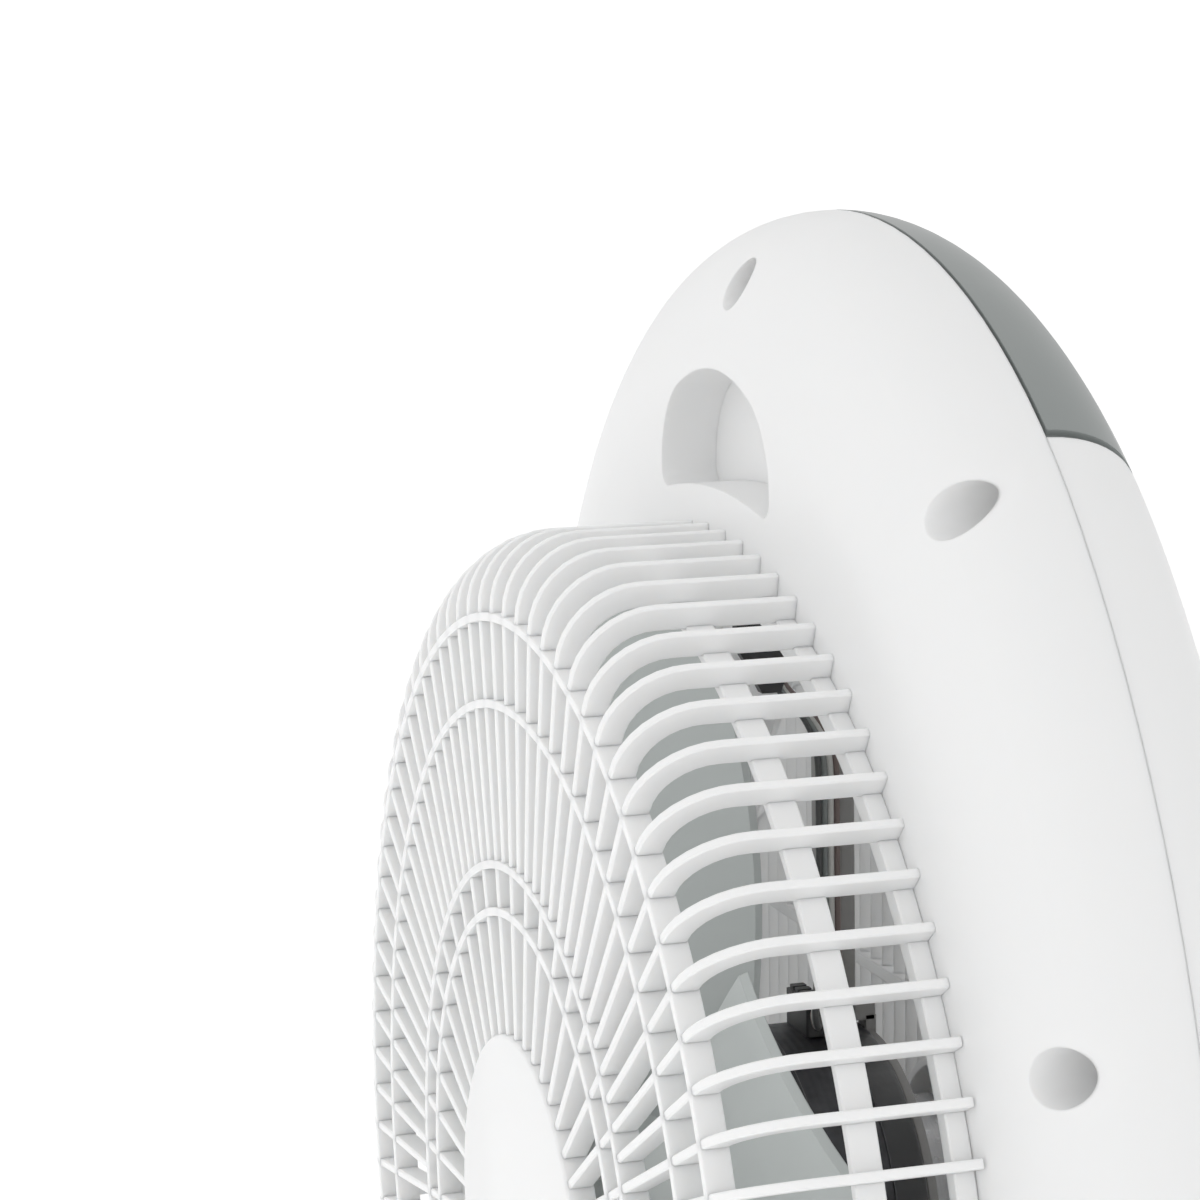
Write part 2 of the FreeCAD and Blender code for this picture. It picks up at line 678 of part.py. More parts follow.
def cord_inlet():
    """Bush with a flange, a neck that passes the wall and a bore for the cord."""
    floor = float(S.inlet_floor)
    flange = cylinder(S.inlet_flange_radius, floor, floor + float(S.inlet_flange), INLET.x, INLET.z)
    neck_end = floor - WALL - float(S.inlet_flange)
    neck = cylinder(S.inlet_neck_radius, neck_end, floor, INLET.x, INLET.z)
    bore = cylinder(S.inlet_bore_radius, neck_end - 1, floor + REAR, INLET.x, INLET.z)
    return flange.fuse(neck).cut(bore)


new_shape("rear_housing", rear_housing())
new_shape("cord_inlet", cord_inlet())
new_shape(
    "housing_screws",
    Part.makeCompound(
        [screw_along_axis(p.x, p.z, float(S.well_floor), S.screw_length) for p in WELLS]
    ),
)


# ---------------------------------------------------------------- front shell and control panel


def panel_zone(margin):
    """Space of the control panel: a wedge above the duct, drawn in by margin."""
    half = math.radians(float(S.panel_half_angle))
    apex = Vector(0, 0, float(S.top_arc_up) + margin / math.sin(half))
    spread = Vector(FAR * math.tan(half), 0, FAR)
    corners = [apex, apex + spread, apex + Vector(-spread.x, 0, spread.z), apex]
    wedge = raised(Part.Face(Part.makePolygon(corners)), 2 * FRONT, 0)
    return wedge.cut(cylinder(float(S.panel_low_radius) + margin, 3 * FRONT, 1))


def pillar(point, form):
    """Pillar inside the front that a housing screw bites into."""
    root = cylinder(S.pillar_radius, FRONT, 0, point.x, point.z).common(form)
    return root.fuse(cylinder(S.pillar_radius, 0, WELL_BOTTOM - SEAM, point.x, point.z))


def pilot(point):
    return cylinder(PILOT_HOLE, SCREW_TIP - 1, WELL_BOTTOM, point.x, point.z)


def front_form():
    return rolled_form(-1, -FRONT, float(S.front_roll), 0)


def front_skin(form, short):
    """Wall of the front shell, which ends short of the parting line."""
    inside = rolled_form(-1, -FRONT - WALL, float(S.front_roll) - WALL, WALL)
    return form.cut(inside).cut(block((-FAR, FAR), (-short, 1), (-FAR, FAR)))


def front_housing():
    """Front shell with its duct, the ledges for the motor bracket and the screw pillars."""
    form = front_form()
    skin = front_skin(form, SEAM).cut(panel_zone(-float(S.panel_gap)))
    shell = skin.fuse(ring(DUCT, DUCT_OUTSIDE, FRONT, -SEAM)).cut(cylinder(DUCT, 2 * FRONT, 1))
    half = float(S.ledge_width) / 2
    ledge = block(
        (-half, half),
        (ARM_BACK, ARM_BACK + float(S.ledge_depth)),
        (S.ledge_radius, DUCT + float(S.duct_wall) / 2),
    )
    added = [turned_about_axis(ledge, angle) for angle in ARM_ANGLES]
    added += [pillar(p, form) for p in WELLS[1:]]
    added += [
        post(S.pillar_radius, x, y, BASE, BASE + float(S.boss_height)).common(form)
        for x, y in FOOT_SCREW_SPOTS
        if y < 0
    ]
    shell = shell.multiFuse(added)
    cuts = [pilot(p) for p in WELLS[1:]]
    for p in [around(angle, S.ledge_screw_radius) for angle in ARM_ANGLES]:
        cuts.append(cylinder(PILOT_HOLE, ARM_BACK - 1, ARM_BACK + float(S.ledge_depth) - 1, p.x, p.z))
    cuts += [
        post(PILOT_HOLE, x, y, BASE - 1, BASE + float(S.boss_height) + 1)
        for x, y in FOOT_SCREW_SPOTS
    ]
    return shell.cut(cuts)


KNOB_SPOTS = {
    "speed": (S.control_radius * sine(S.knob_angle), S.control_radius * cosine(S.knob_angle)),
    "timer": (-S.control_radius * sine(S.knob_angle), S.control_radius * cosine(S.knob_angle)),
}


def control_panel():
    """Arched panel with holes for the spindles and the button, and ribs round the push switch."""
    form = front_form()
    panel = front_skin(form, float(S.panel_seam)).common(panel_zone(0))
    bevel = float(S.panel_bevel)
    shallow = rolled_form(-1, -FRONT - bevel, float(S.front_roll) - bevel, bevel)
    ends = panel_zone(0).cut(panel_zone(bevel))
    panel = panel.cut(form.cut(shallow).common(ends))
    rib_front = FRONT + WALL / 2
    side = float(S.push_switch_side) / 2 + float(S.screw_clearance)
    button_up = float(S.control_radius)
    ribs = [
        block(
            (sign * side, sign * (side + float(S.well_wall))),
            (rib_front, rib_front + float(S.push_switch_depth)),
            (button_up - side, button_up + side),
        )
        for sign in (-1, 1)
    ]
    panel = panel.multiFuse([pillar(WELLS[0], form)] + ribs)
    cuts = [pilot(WELLS[0])]
    for x, z in KNOB_SPOTS.values():
        hole = S.spindle_radius + S.spindle_hole_play
        cuts.append(cylinder(hole, 2 * FRONT, FRONT + 2 * WALL, float(x), float(z)))
    button_hole = S.button_radius + S.button_play
    cuts.append(cylinder(button_hole, 2 * FRONT, FRONT + 2 * WALL, 0, button_up))
    return panel.cut(cuts)


new_shape("front_housing", front_housing())
new_shape("control_panel", control_panel())


# ---------------------------------------------------------------- rear grille

GRILLE_SEAT = S.rear_depth + S.grille_seat
FIN_INSIDE = S.grille_radius - S.fin_depth
HALF_HOOP = S.hoop_width / 2


def fin_outline(sketch, inner):
    """Bent fin in the Y-Z plane: along the side of the drum, round its corner and inwards."""
    corner = S.fin_corner
    vertices = [
        (GRILLE_SEAT, S.grille_radius),
        (GRILLE_BACK - corner, S.grille_radius),
        (GRILLE_BACK, S.grille_radius - corner),
        (GRILLE_BACK, inner),
        (GRILLE_BACK - S.fin_depth, inner),
        (GRILLE_BACK - S.fin_depth, FIN_INSIDE),
        (GRILLE_SEAT, FIN_INSIDE),
    ]
    points = [Vector(float(y), float(z), 0) for y, z in vertices]
    bend_centre = Vector(points[1].x, points[2].y, 0)
    bend = Part.ArcOfCircle(
        Part.Circle(bend_centre, Vector(0, 0, 1), float(corner)), 0, math.pi / 2
    )
    for i, point in enumerate(points):
        following = points[(i + 1) % len(points)]
        sketch.addGeometry(bend if i == 1 else Part.LineSegment(point, following), False)
    for i, (y, z) in enumerate(vertices):
        before = (i - 1) % len(points)
        own_end = 2 if i == 1 else 1
        before_end = 1 if before == 1 else 2
        bind_point(sketch, i, own_end, y, z)
        sketch.addConstraint(Sketcher.Constraint("Coincident", before, before_end, i, own_end))
    bind_x = sketch.addConstraint(Sketcher.Constraint("DistanceX", -1, 1, 1, 3, bend_centre.x))
    sketch.setExpression(f"Constraints[{bind_x}]", (GRILLE_BACK - corner).text)


def fins(body, name, inner, first_angle):
    """Every second fin of the grille."""
    sketch = new_sketch(body, name + "_outline", "YZ_Plane")
    turning = Rotation(Vector(1, 0, 0), -first_angle.number)
    sketch.AttachmentOffset = Placement(Vector(0, 0, 0), turning)
    sketch.setExpression("AttachmentOffset.Rotation.Angle", f"(0 - {first_angle.text}) * 1 deg")
    fin_outline(sketch, inner)
    fin = body.newObject("PartDesign::Pad", name + "_first")
    fin.Profile = sketch
    fin.SideType = "Symmetric"
    fin.setExpression("Length", S.fin_thickness.text)
    repeated(body, name, fin, S.fin_pairs)


def rear_grille():
    """Drum of bent radial fins, tied by hoops and a band and closed by a disc at the centre."""
    body = new_body("rear_grille")
    disc_back = GRILLE_BACK + S.disc_proud
    turned(
        body,
        "centre_disc",
        [
            (disc_back - S.disc_thickness, 0),
            (disc_back, 0),
            (disc_back, S.disc_radius - S.disc_edge),
            (disc_back - S.disc_edge, S.disc_radius),
            (disc_back - S.disc_thickness - S.disc_skirt, S.disc_radius),
            (disc_back - S.disc_thickness - S.disc_skirt, S.disc_radius - S.disc_thickness),
            (disc_back - S.disc_thickness, S.disc_radius - S.disc_thickness),
        ],
    )
    fins(body, "long_fins", S.disc_radius - S.disc_thickness / 2, S.first_fin_angle)
    hoop_front = GRILLE_BACK - S.hoop_depth
    band_front = S.rear_depth + S.band_low
    hoops = [
        tube(hoop_front, GRILLE_BACK, radius - HALF_HOOP, radius + HALF_HOOP)
        for radius in (S.hoop_1_radius, S.hoop_2_radius, S.hoop_3_radius, S.hoop_4_radius)
    ]
    band_outside = FIN_INSIDE + S.band_wall / 2
    band = tube(band_front, band_front + S.band_width, band_outside - S.band_wall, band_outside)
    turned(body, "hoops", *hoops, band)
    half_step = bound(180) / S.fin_pairs
    fins(body, "short_fins", S.hoop_3_radius, S.first_fin_angle + half_step)


rear_grille()


# ---------------------------------------------------------------- motor

CORE_FRONT = S.motor_front + S.bell_depth
CORE_BACK = CORE_FRONT + S.stack_length
MOTOR_BACK = CORE_BACK + S.bell_depth
BUSH_BORE = S.shaft_radius + S.shaft_play
BUSH_SEAT = S.bush_radius + S.pilot_clearance
STUD_HOLE = S.screw_radius + S.screw_clearance
STUD_COUNT = bound(4)


def end_bell(label, closed, way):
    """Cup over one end of the motor. closed is its flat end and way points to its open end."""
    body = new_body(label)
    wall = S.bell_wall
    shoulder = S.motor_radius - S.bell_corner
    turned(
        body,
        label + "_cup",
        [
            (closed, BUSH_SEAT),
            (closed, shoulder),
            (closed + S.bell_corner * way, S.motor_radius),
            (closed + S.bell_depth * way, S.motor_radius),
            (closed + S.bell_depth * way, S.motor_radius - wall),
            (closed + S.bell_corner * way, S.motor_radius - wall),
            (closed + wall * way, shoulder - wall / 2),
            (closed + wall * way, BUSH_SEAT + wall),
            (closed + S.bush_length * way, BUSH_SEAT + wall),
            (closed + S.bush_length * way, BUSH_SEAT),
        ],
    )
    low = closed if way == 1 else closed - wall * 2
    hole = bored(
        body, label + "_stud", lambda s: circle(s, STUD_HOLE, 0, S.stud_circle), low, wall * 2
    )
    repeated(body, label + "_studs", hole, STUD_COUNT)
    slot = bored(
        body,
        label + "_vent",
        lambda s: polygon(
            s,
            [
                (-S.vent_width / 2, S.vent_inner_radius),
                (S.vent_width / 2, S.vent_inner_radius),
                (S.vent_width / 2, S.vent_outer_radius),
                (-S.vent_width / 2, S.vent_outer_radius),
            ],
        ),
        low,
        wall * 2,
        bound(180) / S.vent_count,
    )
    repeated(body, label + "_vents", slot, S.vent_count)


def motor_core():
    """Laminated core with the holes for the studs."""
    body = new_body("motor_core")
    turned(body, "core_ring", tube(CORE_FRONT, CORE_BACK, S.slot_radius, S.motor_radius))
    hole = bored(
        body,
        "core_stud",
        lambda s: circle(s, STUD_HOLE, 0, S.stud_circle),
        CORE_FRONT,
        S.stack_length,
    )
    repeated(body, "core_studs", hole, STUD_COUNT)


def motor_windings():
    """Two rings of winding, one on each side of the core."""
    body = new_body("motor_windings")
    front = CORE_FRONT - S.coil_gap
    back = CORE_BACK + S.coil_gap
    turned(
        body,
        "coils",
        tube(front - S.coil_depth, front, S.coil_inner_radius, S.coil_outer_radius),
        tube(back, back + S.coil_depth, S.coil_inner_radius, S.coil_outer_radius),
    )


def motor_bushes():
    body = new_body("motor_bushes")
    turned(
        body,
        "bushes",
        tube(S.motor_front, S.motor_front + S.bush_length, BUSH_BORE, S.bush_radius),
        tube(MOTOR_BACK - S.bush_length, MOTOR_BACK, BUSH_BORE, S.bush_radius),
    )


def motor_rotor():
    body = new_body("motor_rotor")
    turned(
        body,
        "rotor",
        tube(
            CORE_FRONT - S.rotor_overhang,
            CORE_BACK + S.rotor_overhang,
            BUSH_BORE,
            S.slot_radius - S.air_gap,
        ),
    )


def motor_screws():
    """Studs that clamp the bells, the core and the bracket, with their heads at the rear."""
    length = float(MOTOR_BACK - S.motor_front + S.bracket_thickness - S.screw_clearance)
    spots = [around(90 * k, S.stud_circle) for k in range(int(STUD_COUNT.number))]
    return [screw_along_axis(p.x, p.z, float(MOTOR_BACK), length) for p in spots]


end_bell("motor_front_bell", S.motor_front, 1)
end_bell("motor_rear_bell", MOTOR_BACK, -1)
motor_core()
motor_windings()
motor_bushes()
motor_rotor()
new_shape("motor_screws", Part.makeCompound(motor_screws()))


# ---------------------------------------------------------------- bracket that carries the motor

ARM_FRONT = S.motor_front - S.arm_depth
PLATE_FRONT = S.motor_front - S.bracket_thickness


def motor_bracket():
    """Round plate with four arms that reach to ledges on the duct."""
    body = new_body("motor_bracket")
    turned(body, "plate", tube(PLATE_FRONT, S.motor_front, 0, S.bracket_plate_radius))
    half = S.arm_width / 2
    arm = extruded(
        body,
        "arm",
        lambda s: polygon(
            s,
            [
                (-half, S.stud_circle + S.arm_clearance),
                (half, S.stud_circle + S.arm_clearance),
                (half, S.duct_radius - S.arm_end_gap),
                (-half, S.duct_radius - S.arm_end_gap),
            ],
        ),
        ARM_FRONT,
        S.arm_depth,
        bound(45),
    )
    repeated(body, "arms", arm, bound(4))
    channel = bored(
        body,
        "channel",
        lambda s: polygon(
            s,
            [
                (-half + S.arm_web, S.bracket_plate_radius + S.arm_web),
                (half - S.arm_web, S.bracket_plate_radius + S.arm_web),
                (half - S.arm_web, S.ledge_radius - S.arm_web),
                (-half + S.arm_web, S.ledge_radius - S.arm_web),
            ],
        ),
        ARM_FRONT + S.arm_web,
        S.arm_depth - S.arm_web,
        bound(45),
    )
    repeated(body, "channels", channel, bound(4))
    screw_hole = bored(
        body,
        "arm_hole",
        lambda s: circle(s, STUD_HOLE, 0, S.ledge_screw_radius),
        ARM_FRONT,
        S.arm_depth,
        bound(45),
    )
    repeated(body, "arm_holes", screw_hole, bound(4))
    stud_hole = bored(
        body,
        "plate_stud",
        lambda s: circle(s, S.screw_radius + S.pilot_clearance, 0, S.stud_circle),
        PLATE_FRONT,
        S.bracket_thickness,
    )
    repeated(body, "plate_studs", stud_hole, STUD_COUNT)


def bracket_screws():
    """Screws that hold the arms to the ledges, with their heads at the front."""
    seat = float(ARM_FRONT)
    screws = []
    for p in [around(angle, S.ledge_screw_radius) for angle in ARM_ANGLES]:
        head = cylinder(S.screw_head_radius, seat - float(S.screw_head_rise), seat, p.x, p.z)
        tip = ARM_BACK + float(S.ledge_depth) - 2
        screws.append(head.fuse(cylinder(S.screw_radius, seat, tip, p.x, p.z)))
    return screws


motor_bracket()
new_shape("bracket_screws", Part.makeCompound(bracket_screws()))


# ---------------------------------------------------------------- blade, shaft and nut

HUB_BACK = S.hub_front + S.hub_length
HUB_BORE = S.shaft_radius + S.pilot_clearance
SHAFT_FRONT = S.motor_front + S.shaft_end_gap
NUT_FRONT = HUB_BACK + S.pilot_clearance
NUT_BACK = NUT_FRONT + S.nut_length


def blade_section(share):
    """Closed section of a blade; share runs from 0 at the hub to 1 at the tip."""
    hub = float(S.hub_radius)
    reach = hub + share * (float(S.blade_tip_radius) - hub)
    root_chord = float(S.blade_root_chord)
    widening = math.sin(math.radians(100 * max(share, 0)))
    narrowing = math.sqrt(1 - (max(0, share - 0.7) / 0.62) ** 2)
    chord = (root_chord + (float(S.blade_tip_chord) - root_chord) * widening) * narrowing
    root_pitch = float(S.blade_root_pitch)
    pitch = math.radians(root_pitch + (float(S.blade_tip_pitch) - root_pitch) * share)
    sweep = reach * math.tan(math.radians(float(S.blade_sweep) * share))
    centre = Vector(sweep, float(S.blade_mid), reach)
    along = Vector(math.cos(pitch), math.sin(pitch), 0)
    across = Vector(-math.sin(pitch), math.cos(pitch), 0)
    half = chord / 2
    skin = float(S.blade_thickness) / 2
    rise = chord * float(S.blade_camber)

    def point(distance, height):
        return centre + along * distance + across * height

    return Part.Wire(
        [
            Part.Arc(point(-half, skin), point(0, rise + skin), point(half, skin)).toShape(),
            Part.makeLine(point(half, skin), point(half, -skin)),
            Part.Arc(point(half, -skin), point(0, rise - skin), point(-half, -skin)).toShape(),
            Part.makeLine(point(-half, -skin), point(-half, skin)),
        ]
    )


def fan_blade():
    """Cup-shaped hub with a boss on the shaft, ribs and twisted, swept blades."""
    hub = float(S.hub_radius)
    wall = float(S.hub_wall)
    front = float(S.hub_front)
    back = float(HUB_BACK)
    cup = cylinder(hub, front, back).cut(cylinder(hub - wall, front - 1, back - wall))
    boss = cylinder(S.hub_boss_radius, front + wall, back)
    rib = block((-wall / 2, wall / 2), (front + 2 * wall, back - wall / 2), (0, hub - wall / 2))
    blade = Part.makeLoft([blade_section(s) for s in (-0.1, 0.35, 0.8, 1.12)], True)
    blade = blade.common(cylinder(S.blade_tip_radius, front - FAR, back + FAR))
    blade = blade.cut(cylinder(hub - wall / 2, front - FAR, back + FAR))
    count = int(float(S.blade_count))
    step = 360 / count
    blades = [turned_about_axis(blade, k * step + float(S.blade_sweep) / 2) for k in range(count)]
    ribs = [turned_about_axis(rib, k * step) for k in range(count)]
    solid = cup.multiFuse([boss] + ribs + blades)
    return solid.cut(cylinder(HUB_BORE, front - 1, back + 1))


def motor_shaft():
    body = new_body("motor_shaft")
    turned(body, "shaft", tube(SHAFT_FRONT, NUT_BACK - S.nut_cap, 0, S.shaft_radius))


def blade_nut():
    """Fluted knob with a left-hand thread that clamps the blade to the shaft."""
    body = new_body("blade_nut")
    turned(
        body,
        "knob",
        [
            (NUT_FRONT, HUB_BORE),
            (NUT_FRONT, S.nut_radius),
            (NUT_BACK - S.nut_edge, S.nut_radius),
            (NUT_BACK, S.nut_radius - S.nut_edge),
            (NUT_BACK, 0),
            (NUT_BACK - S.nut_cap + S.pilot_clearance, 0),
            (NUT_BACK - S.nut_cap + S.pilot_clearance, HUB_BORE),
        ],
    )
    flute = bored(
        body,
        "flute",
        lambda s: circle(s, S.nut_flute, 0, S.nut_radius + S.nut_flute / 2),
        NUT_FRONT,
        S.nut_length,
    )
    repeated(body, "flutes", flute, S.nut_flute_count)


new_shape("fan_blade", fan_blade())
motor_shaft()
blade_nut()


# ---------------------------------------------------------------- rotating front grille

LOUVRE_BACK = -S.louvre_back
LOUVRE_FRONT = LOUVRE_BACK - S.louvre_depth
LOUVRE_MOTOR_FRONT = PLATE_FRONT - S.louvre_motor_depth
LOUVRE_BORE = S.louvre_shaft_radius + S.spindle_play


def slat(x, tilt):
    """Upright slat, tilted about its own length."""
    thick = float(S.slat_thickness)
    lean = math.radians(float(S.slat_tilt))
    depth = float(S.louvre_depth)
    width = (depth - thick * math.sin(lean)) / math.cos(lean) - thick
    reach = float(S.louvre_radius)
    middle = float(LOUVRE_BACK) - depth / 2
    board = Part.makeBox(thick, width, 2 * reach, Vector(x - thick / 2, middle - width / 2, -reach))
    board.rotate(Vector(x, middle, 0), Vector(0, 0, 1), tilt)
    return board


def louvre_grille():
    """Rotating grille: a rim, a hub and upright slats that lean away from the middle."""
    front = float(LOUVRE_FRONT)
    back = float(LOUVRE_BACK)
    rim_inside = float(S.louvre_radius - S.louvre_rim)
    hub = float(S.louvre_hub_radius)
    pitch = float(S.slat_pitch)
    tilt = float(S.slat_tilt)
    count = int((rim_inside - pitch / 2) / pitch)
    slats = []
    for k in range(count + 1):
        x = (k + 0.5) * pitch
        slats += [slat(x, tilt), slat(-x, -tilt)]
    room = ring(hub - float(S.hub_wall) / 2, rim_inside + float(S.louvre_rim) / 2, front, back)
    slats = [piece.common(room) for piece in slats]
    tie = float(S.tie_width)
    spacing = float(S.tie_spacing)
    ties = [
        block((-FAR, FAR), (back - tie, back), (sign * spacing / 2 - tie / 2, sign * spacing / 2 + tie / 2))
        .common(room)
        for sign in (-1, 1)
    ]
    wall = float(S.hub_wall)
    hub_cup = cylinder(hub, front, back).cut(cylinder(hub - wall, front + wall, back + 1))
    boss = cylinder(S.louvre_boss_radius, front, float(LOUVRE_MOTOR_FRONT - S.louvre_boss_gap))
    rim = ring(rim_inside, S.louvre_radius, front, back)
    solid = rim.multiFuse([hub_cup, boss] + slats + ties)
    bore = S.louvre_shaft_radius + S.pilot_clearance
    return solid.cut(cylinder(bore, front + wall, back + FAR))


def louvre_cap():
    """Shallow domed cap on the hub of the rotating grille."""
    radius = float(S.cap_radius)
    wall = float(S.hub_wall)
    rim = float(LOUVRE_FRONT - S.pilot_clearance)
    edge = rim - float(S.cap_edge)
    dome_rise = float(S.cap_rise - S.cap_edge)
    dome_radius = (radius**2 + dome_rise**2) / (2 * dome_rise)
    top = edge - dome_rise
    centre = Vector(0, top + dome_radius, 0)
    half_way = math.asin(radius / dome_radius) / 2
    middle = centre + Vector(0, -math.cos(half_way), math.sin(half_way)) * dome_radius
    outline = [
        Part.makeLine(Vector(0, rim, 0), Vector(0, rim, radius)),
        Part.makeLine(Vector(0, rim, radius), Vector(0, edge, radius)),
        Part.Arc(Vector(0, edge, radius), middle, Vector(0, top, 0)).toShape(),
        Part.makeLine(Vector(0, top, 0), Vector(0, rim, 0)),
    ]
    dome = face_inside(outline).revolve(Vector(0, 0, 0), REARWARD, 360)
    return dome.cut(cylinder(radius - wall, edge, rim + 1))


def louvre_shaft():
    body = new_body("louvre_shaft")
    front = LOUVRE_FRONT + S.hub_wall + S.pilot_clearance
    turned(body, "pin", tube(front, PLATE_FRONT - S.shaft_end_gap, 0, S.louvre_shaft_radius))


def louvre_motor():
    """Small synchronous motor in front of the bracket plate, which turns the front grille."""
    body = new_body("louvre_motor")
    turned(
        body, "case", tube(LOUVRE_MOTOR_FRONT, PLATE_FRONT, LOUVRE_BORE, S.louvre_motor_radius)
    )


new_shape("louvre_grille", louvre_grille())
new_shape("louvre_cap", louvre_cap())
louvre_shaft()
louvre_motor()


# ---------------------------------------------------------------- controls

PANEL_FACE = -S.front_depth
PANEL_BACK = PANEL_FACE + S.shell_wall
KNOB_BACK = PANEL_FACE - S.knob_gap
KNOB_FRONT = KNOB_BACK - S.knob_rise
SPINDLE_BORE = S.spindle_radius + S.spindle_play
SPINDLE_BACK = PANEL_BACK + S.spindle_depth


def control_spot(side):
    """Origin of a knob and what it turns: on the panel, to one side of the top."""
    x = S.control_radius * sine(S.knob_angle)
    return (x * side, ON_AXIS[1], ON_AXIS[2] + S.control_radius * cosine(S.knob_angle))


def knob(label, spot):
    """Hollow tapered knob with a bar across its face and a boss for the spindle."""
    body = new_body(label, spot)
    roof = KNOB_FRONT + S.knob_wall
    boss = S.spindle_radius + S.knob_wall
    bore = S.spindle_radius + S.pilot_clearance
    turned(
        body,
        label + "_cup",
        [
            (KNOB_BACK, S.knob_radius),
            (KNOB_FRONT + S.knob_edge, S.knob_top_radius),
            (KNOB_FRONT, S.knob_top_radius - S.knob_edge),
            (KNOB_FRONT, 0),
            (roof, 0),
            (roof, bore),
            (KNOB_BACK, bore),
            (KNOB_BACK, boss),
            (roof, boss),
            (roof, S.knob_top_radius - S.knob_wall),
            (KNOB_BACK, S.knob_radius - S.knob_wall),
        ],
    )
    half = S.grip_width / 2
    reach = S.knob_top_radius - S.knob_edge
    extruded(
        body,
        label + "_grip",
        lambda s: polygon(s, [(-half, -reach), (half, -reach), (half, reach), (-half, reach)]),
        KNOB_FRONT - S.grip_rise,
        S.grip_rise + S.knob_wall / 2,
    )


def spindle(label, spot):
    body = new_body(label, spot)
    front = KNOB_FRONT + S.knob_wall + S.pilot_clearance
    turned(body, label + "_pin", tube(front, SPINDLE_BACK, 0, S.spindle_radius))


def speed_switch():
    """Rotary switch behind the panel, with a bore for its spindle."""
    body = new_body("speed_switch", control_spot(1))
    half = S.switch_width / 2
    tall = S.switch_height / 2
    extruded(
        body,
        "switch_case",
        lambda s: polygon(s, [(-half, -tall), (half, -tall), (half, tall), (-half, tall)]),
        PANEL_BACK,
        S.switch_depth,
    )
    bored(
        body,
        "switch_bore",
        lambda s: circle(s, SPINDLE_BORE),
        PANEL_BACK,
        S.spindle_depth + S.shaft_end_gap,
    )


def timer_body():
    """Round clockwork timer behind the panel, with a bore for its spindle."""
    body = new_body("timer_body", control_spot(-1))
    turned(
        body,
        "timer_case",
        [
            (PANEL_BACK, SPINDLE_BORE),
            (PANEL_BACK + S.spindle_depth + S.shaft_end_gap, SPINDLE_BORE),
            (PANEL_BACK + S.spindle_depth + S.shaft_end_gap, 0),
            (PANEL_BACK + S.timer_depth, 0),
            (PANEL_BACK + S.timer_depth, S.timer_radius),
            (PANEL_BACK, S.timer_radius),
        ],
    )


BUTTON_SPOT = (ON_AXIS[0], ON_AXIS[1], ON_AXIS[2] + S.control_radius)
BUTTON_FLANGE_FRONT = PANEL_BACK + S.screw_clearance
BUTTON_FLANGE_BACK = BUTTON_FLANGE_FRONT + S.button_flange
PUSH_SWITCH_FRONT = BUTTON_FLANGE_BACK + S.button_travel + S.screw_clearance
PUSH_SWITCH_DEPTH = S.push_switch_depth
STEM_BACK = PUSH_SWITCH_FRONT + S.button_stem_seat


def louvre_button():
    """Push button with a flange behind the panel and a stem that works the push switch."""
    body = new_body("louvre_button", BUTTON_SPOT)
    flange = S.button_radius + S.button_play * 2
    turned(
        body,
        "button",
        [
            (PANEL_FACE - S.button_rise, 0),
            (PANEL_FACE - S.button_rise, S.button_radius - S.knob_edge),
            (PANEL_FACE - S.button_rise + S.knob_edge, S.button_radius),
            (BUTTON_FLANGE_FRONT, S.button_radius),
            (BUTTON_FLANGE_FRONT, flange),
            (BUTTON_FLANGE_BACK, flange),
            (BUTTON_FLANGE_BACK, S.button_stem_radius),
            (STEM_BACK, S.button_stem_radius),
            (STEM_BACK, 0),
        ],
    )


def louvre_switch():
    """Push switch between two ribs of the panel, with a hole for the button's stem."""
    body = new_body("louvre_switch", BUTTON_SPOT)
    half = S.push_switch_side / 2
    extruded(
        body,
        "push_case",
        lambda s: polygon(s, [(-half, -half), (half, -half), (half, half), (-half, half)]),
        PUSH_SWITCH_FRONT,
        PUSH_SWITCH_DEPTH,
    )
    bored(
        body,
        "push_hole",
        lambda s: circle(s, S.button_stem_radius + S.button_play),
        PUSH_SWITCH_FRONT,
        S.button_stem_seat + S.button_travel + S.shaft_end_gap,
    )


def run_capacitor():
    """Capacitor of the fan motor, on the back of the front face."""
    half = float(S.capacitor_width) / 2
    tall = float(S.capacitor_height) / 2
    middle = float(S.capacitor_radius)
    front = float(PANEL_BACK)
    case = block((-half, half), (front, front + float(S.capacitor_depth)), (middle - tall, middle + tall))
    return turned_about_axis(case, S.capacitor_angle)


knob("speed_knob", control_spot(1))
spindle("speed_spindle", control_spot(1))
speed_switch()
knob("timer_knob", control_spot(-1))
spindle("timer_spindle", control_spot(-1))
timer_body()
louvre_button()
louvre_switch()
new_shape("run_capacitor", run_capacitor())


# ---------------------------------------------------------------- feet

FOOT_SPOT = FLOOR_SPOT
FOOT_LOW = float(S.pad_thickness)
HOUSING_LOW = float(S.axis_height - S.base_drop)
FOOT_TOE = HOUSING_LOW - float(S.toe_drop)
SCREW_SEAT = FOOT_LOW + float(S.foot_recess)


def housing_with_play(play):
    """Both halves of the housing's form, grown by play, with the floor as their origin."""
    rear = rolled_form(1, REAR + play, float(S.rear_roll) + play, -play)
    front = rolled_form(-1, -FRONT + play, float(S.front_roll) + play, -play)
    form = rear.fuse(front)
    form.translate(Vector(0, 0, float(S.axis_height)))
    return form


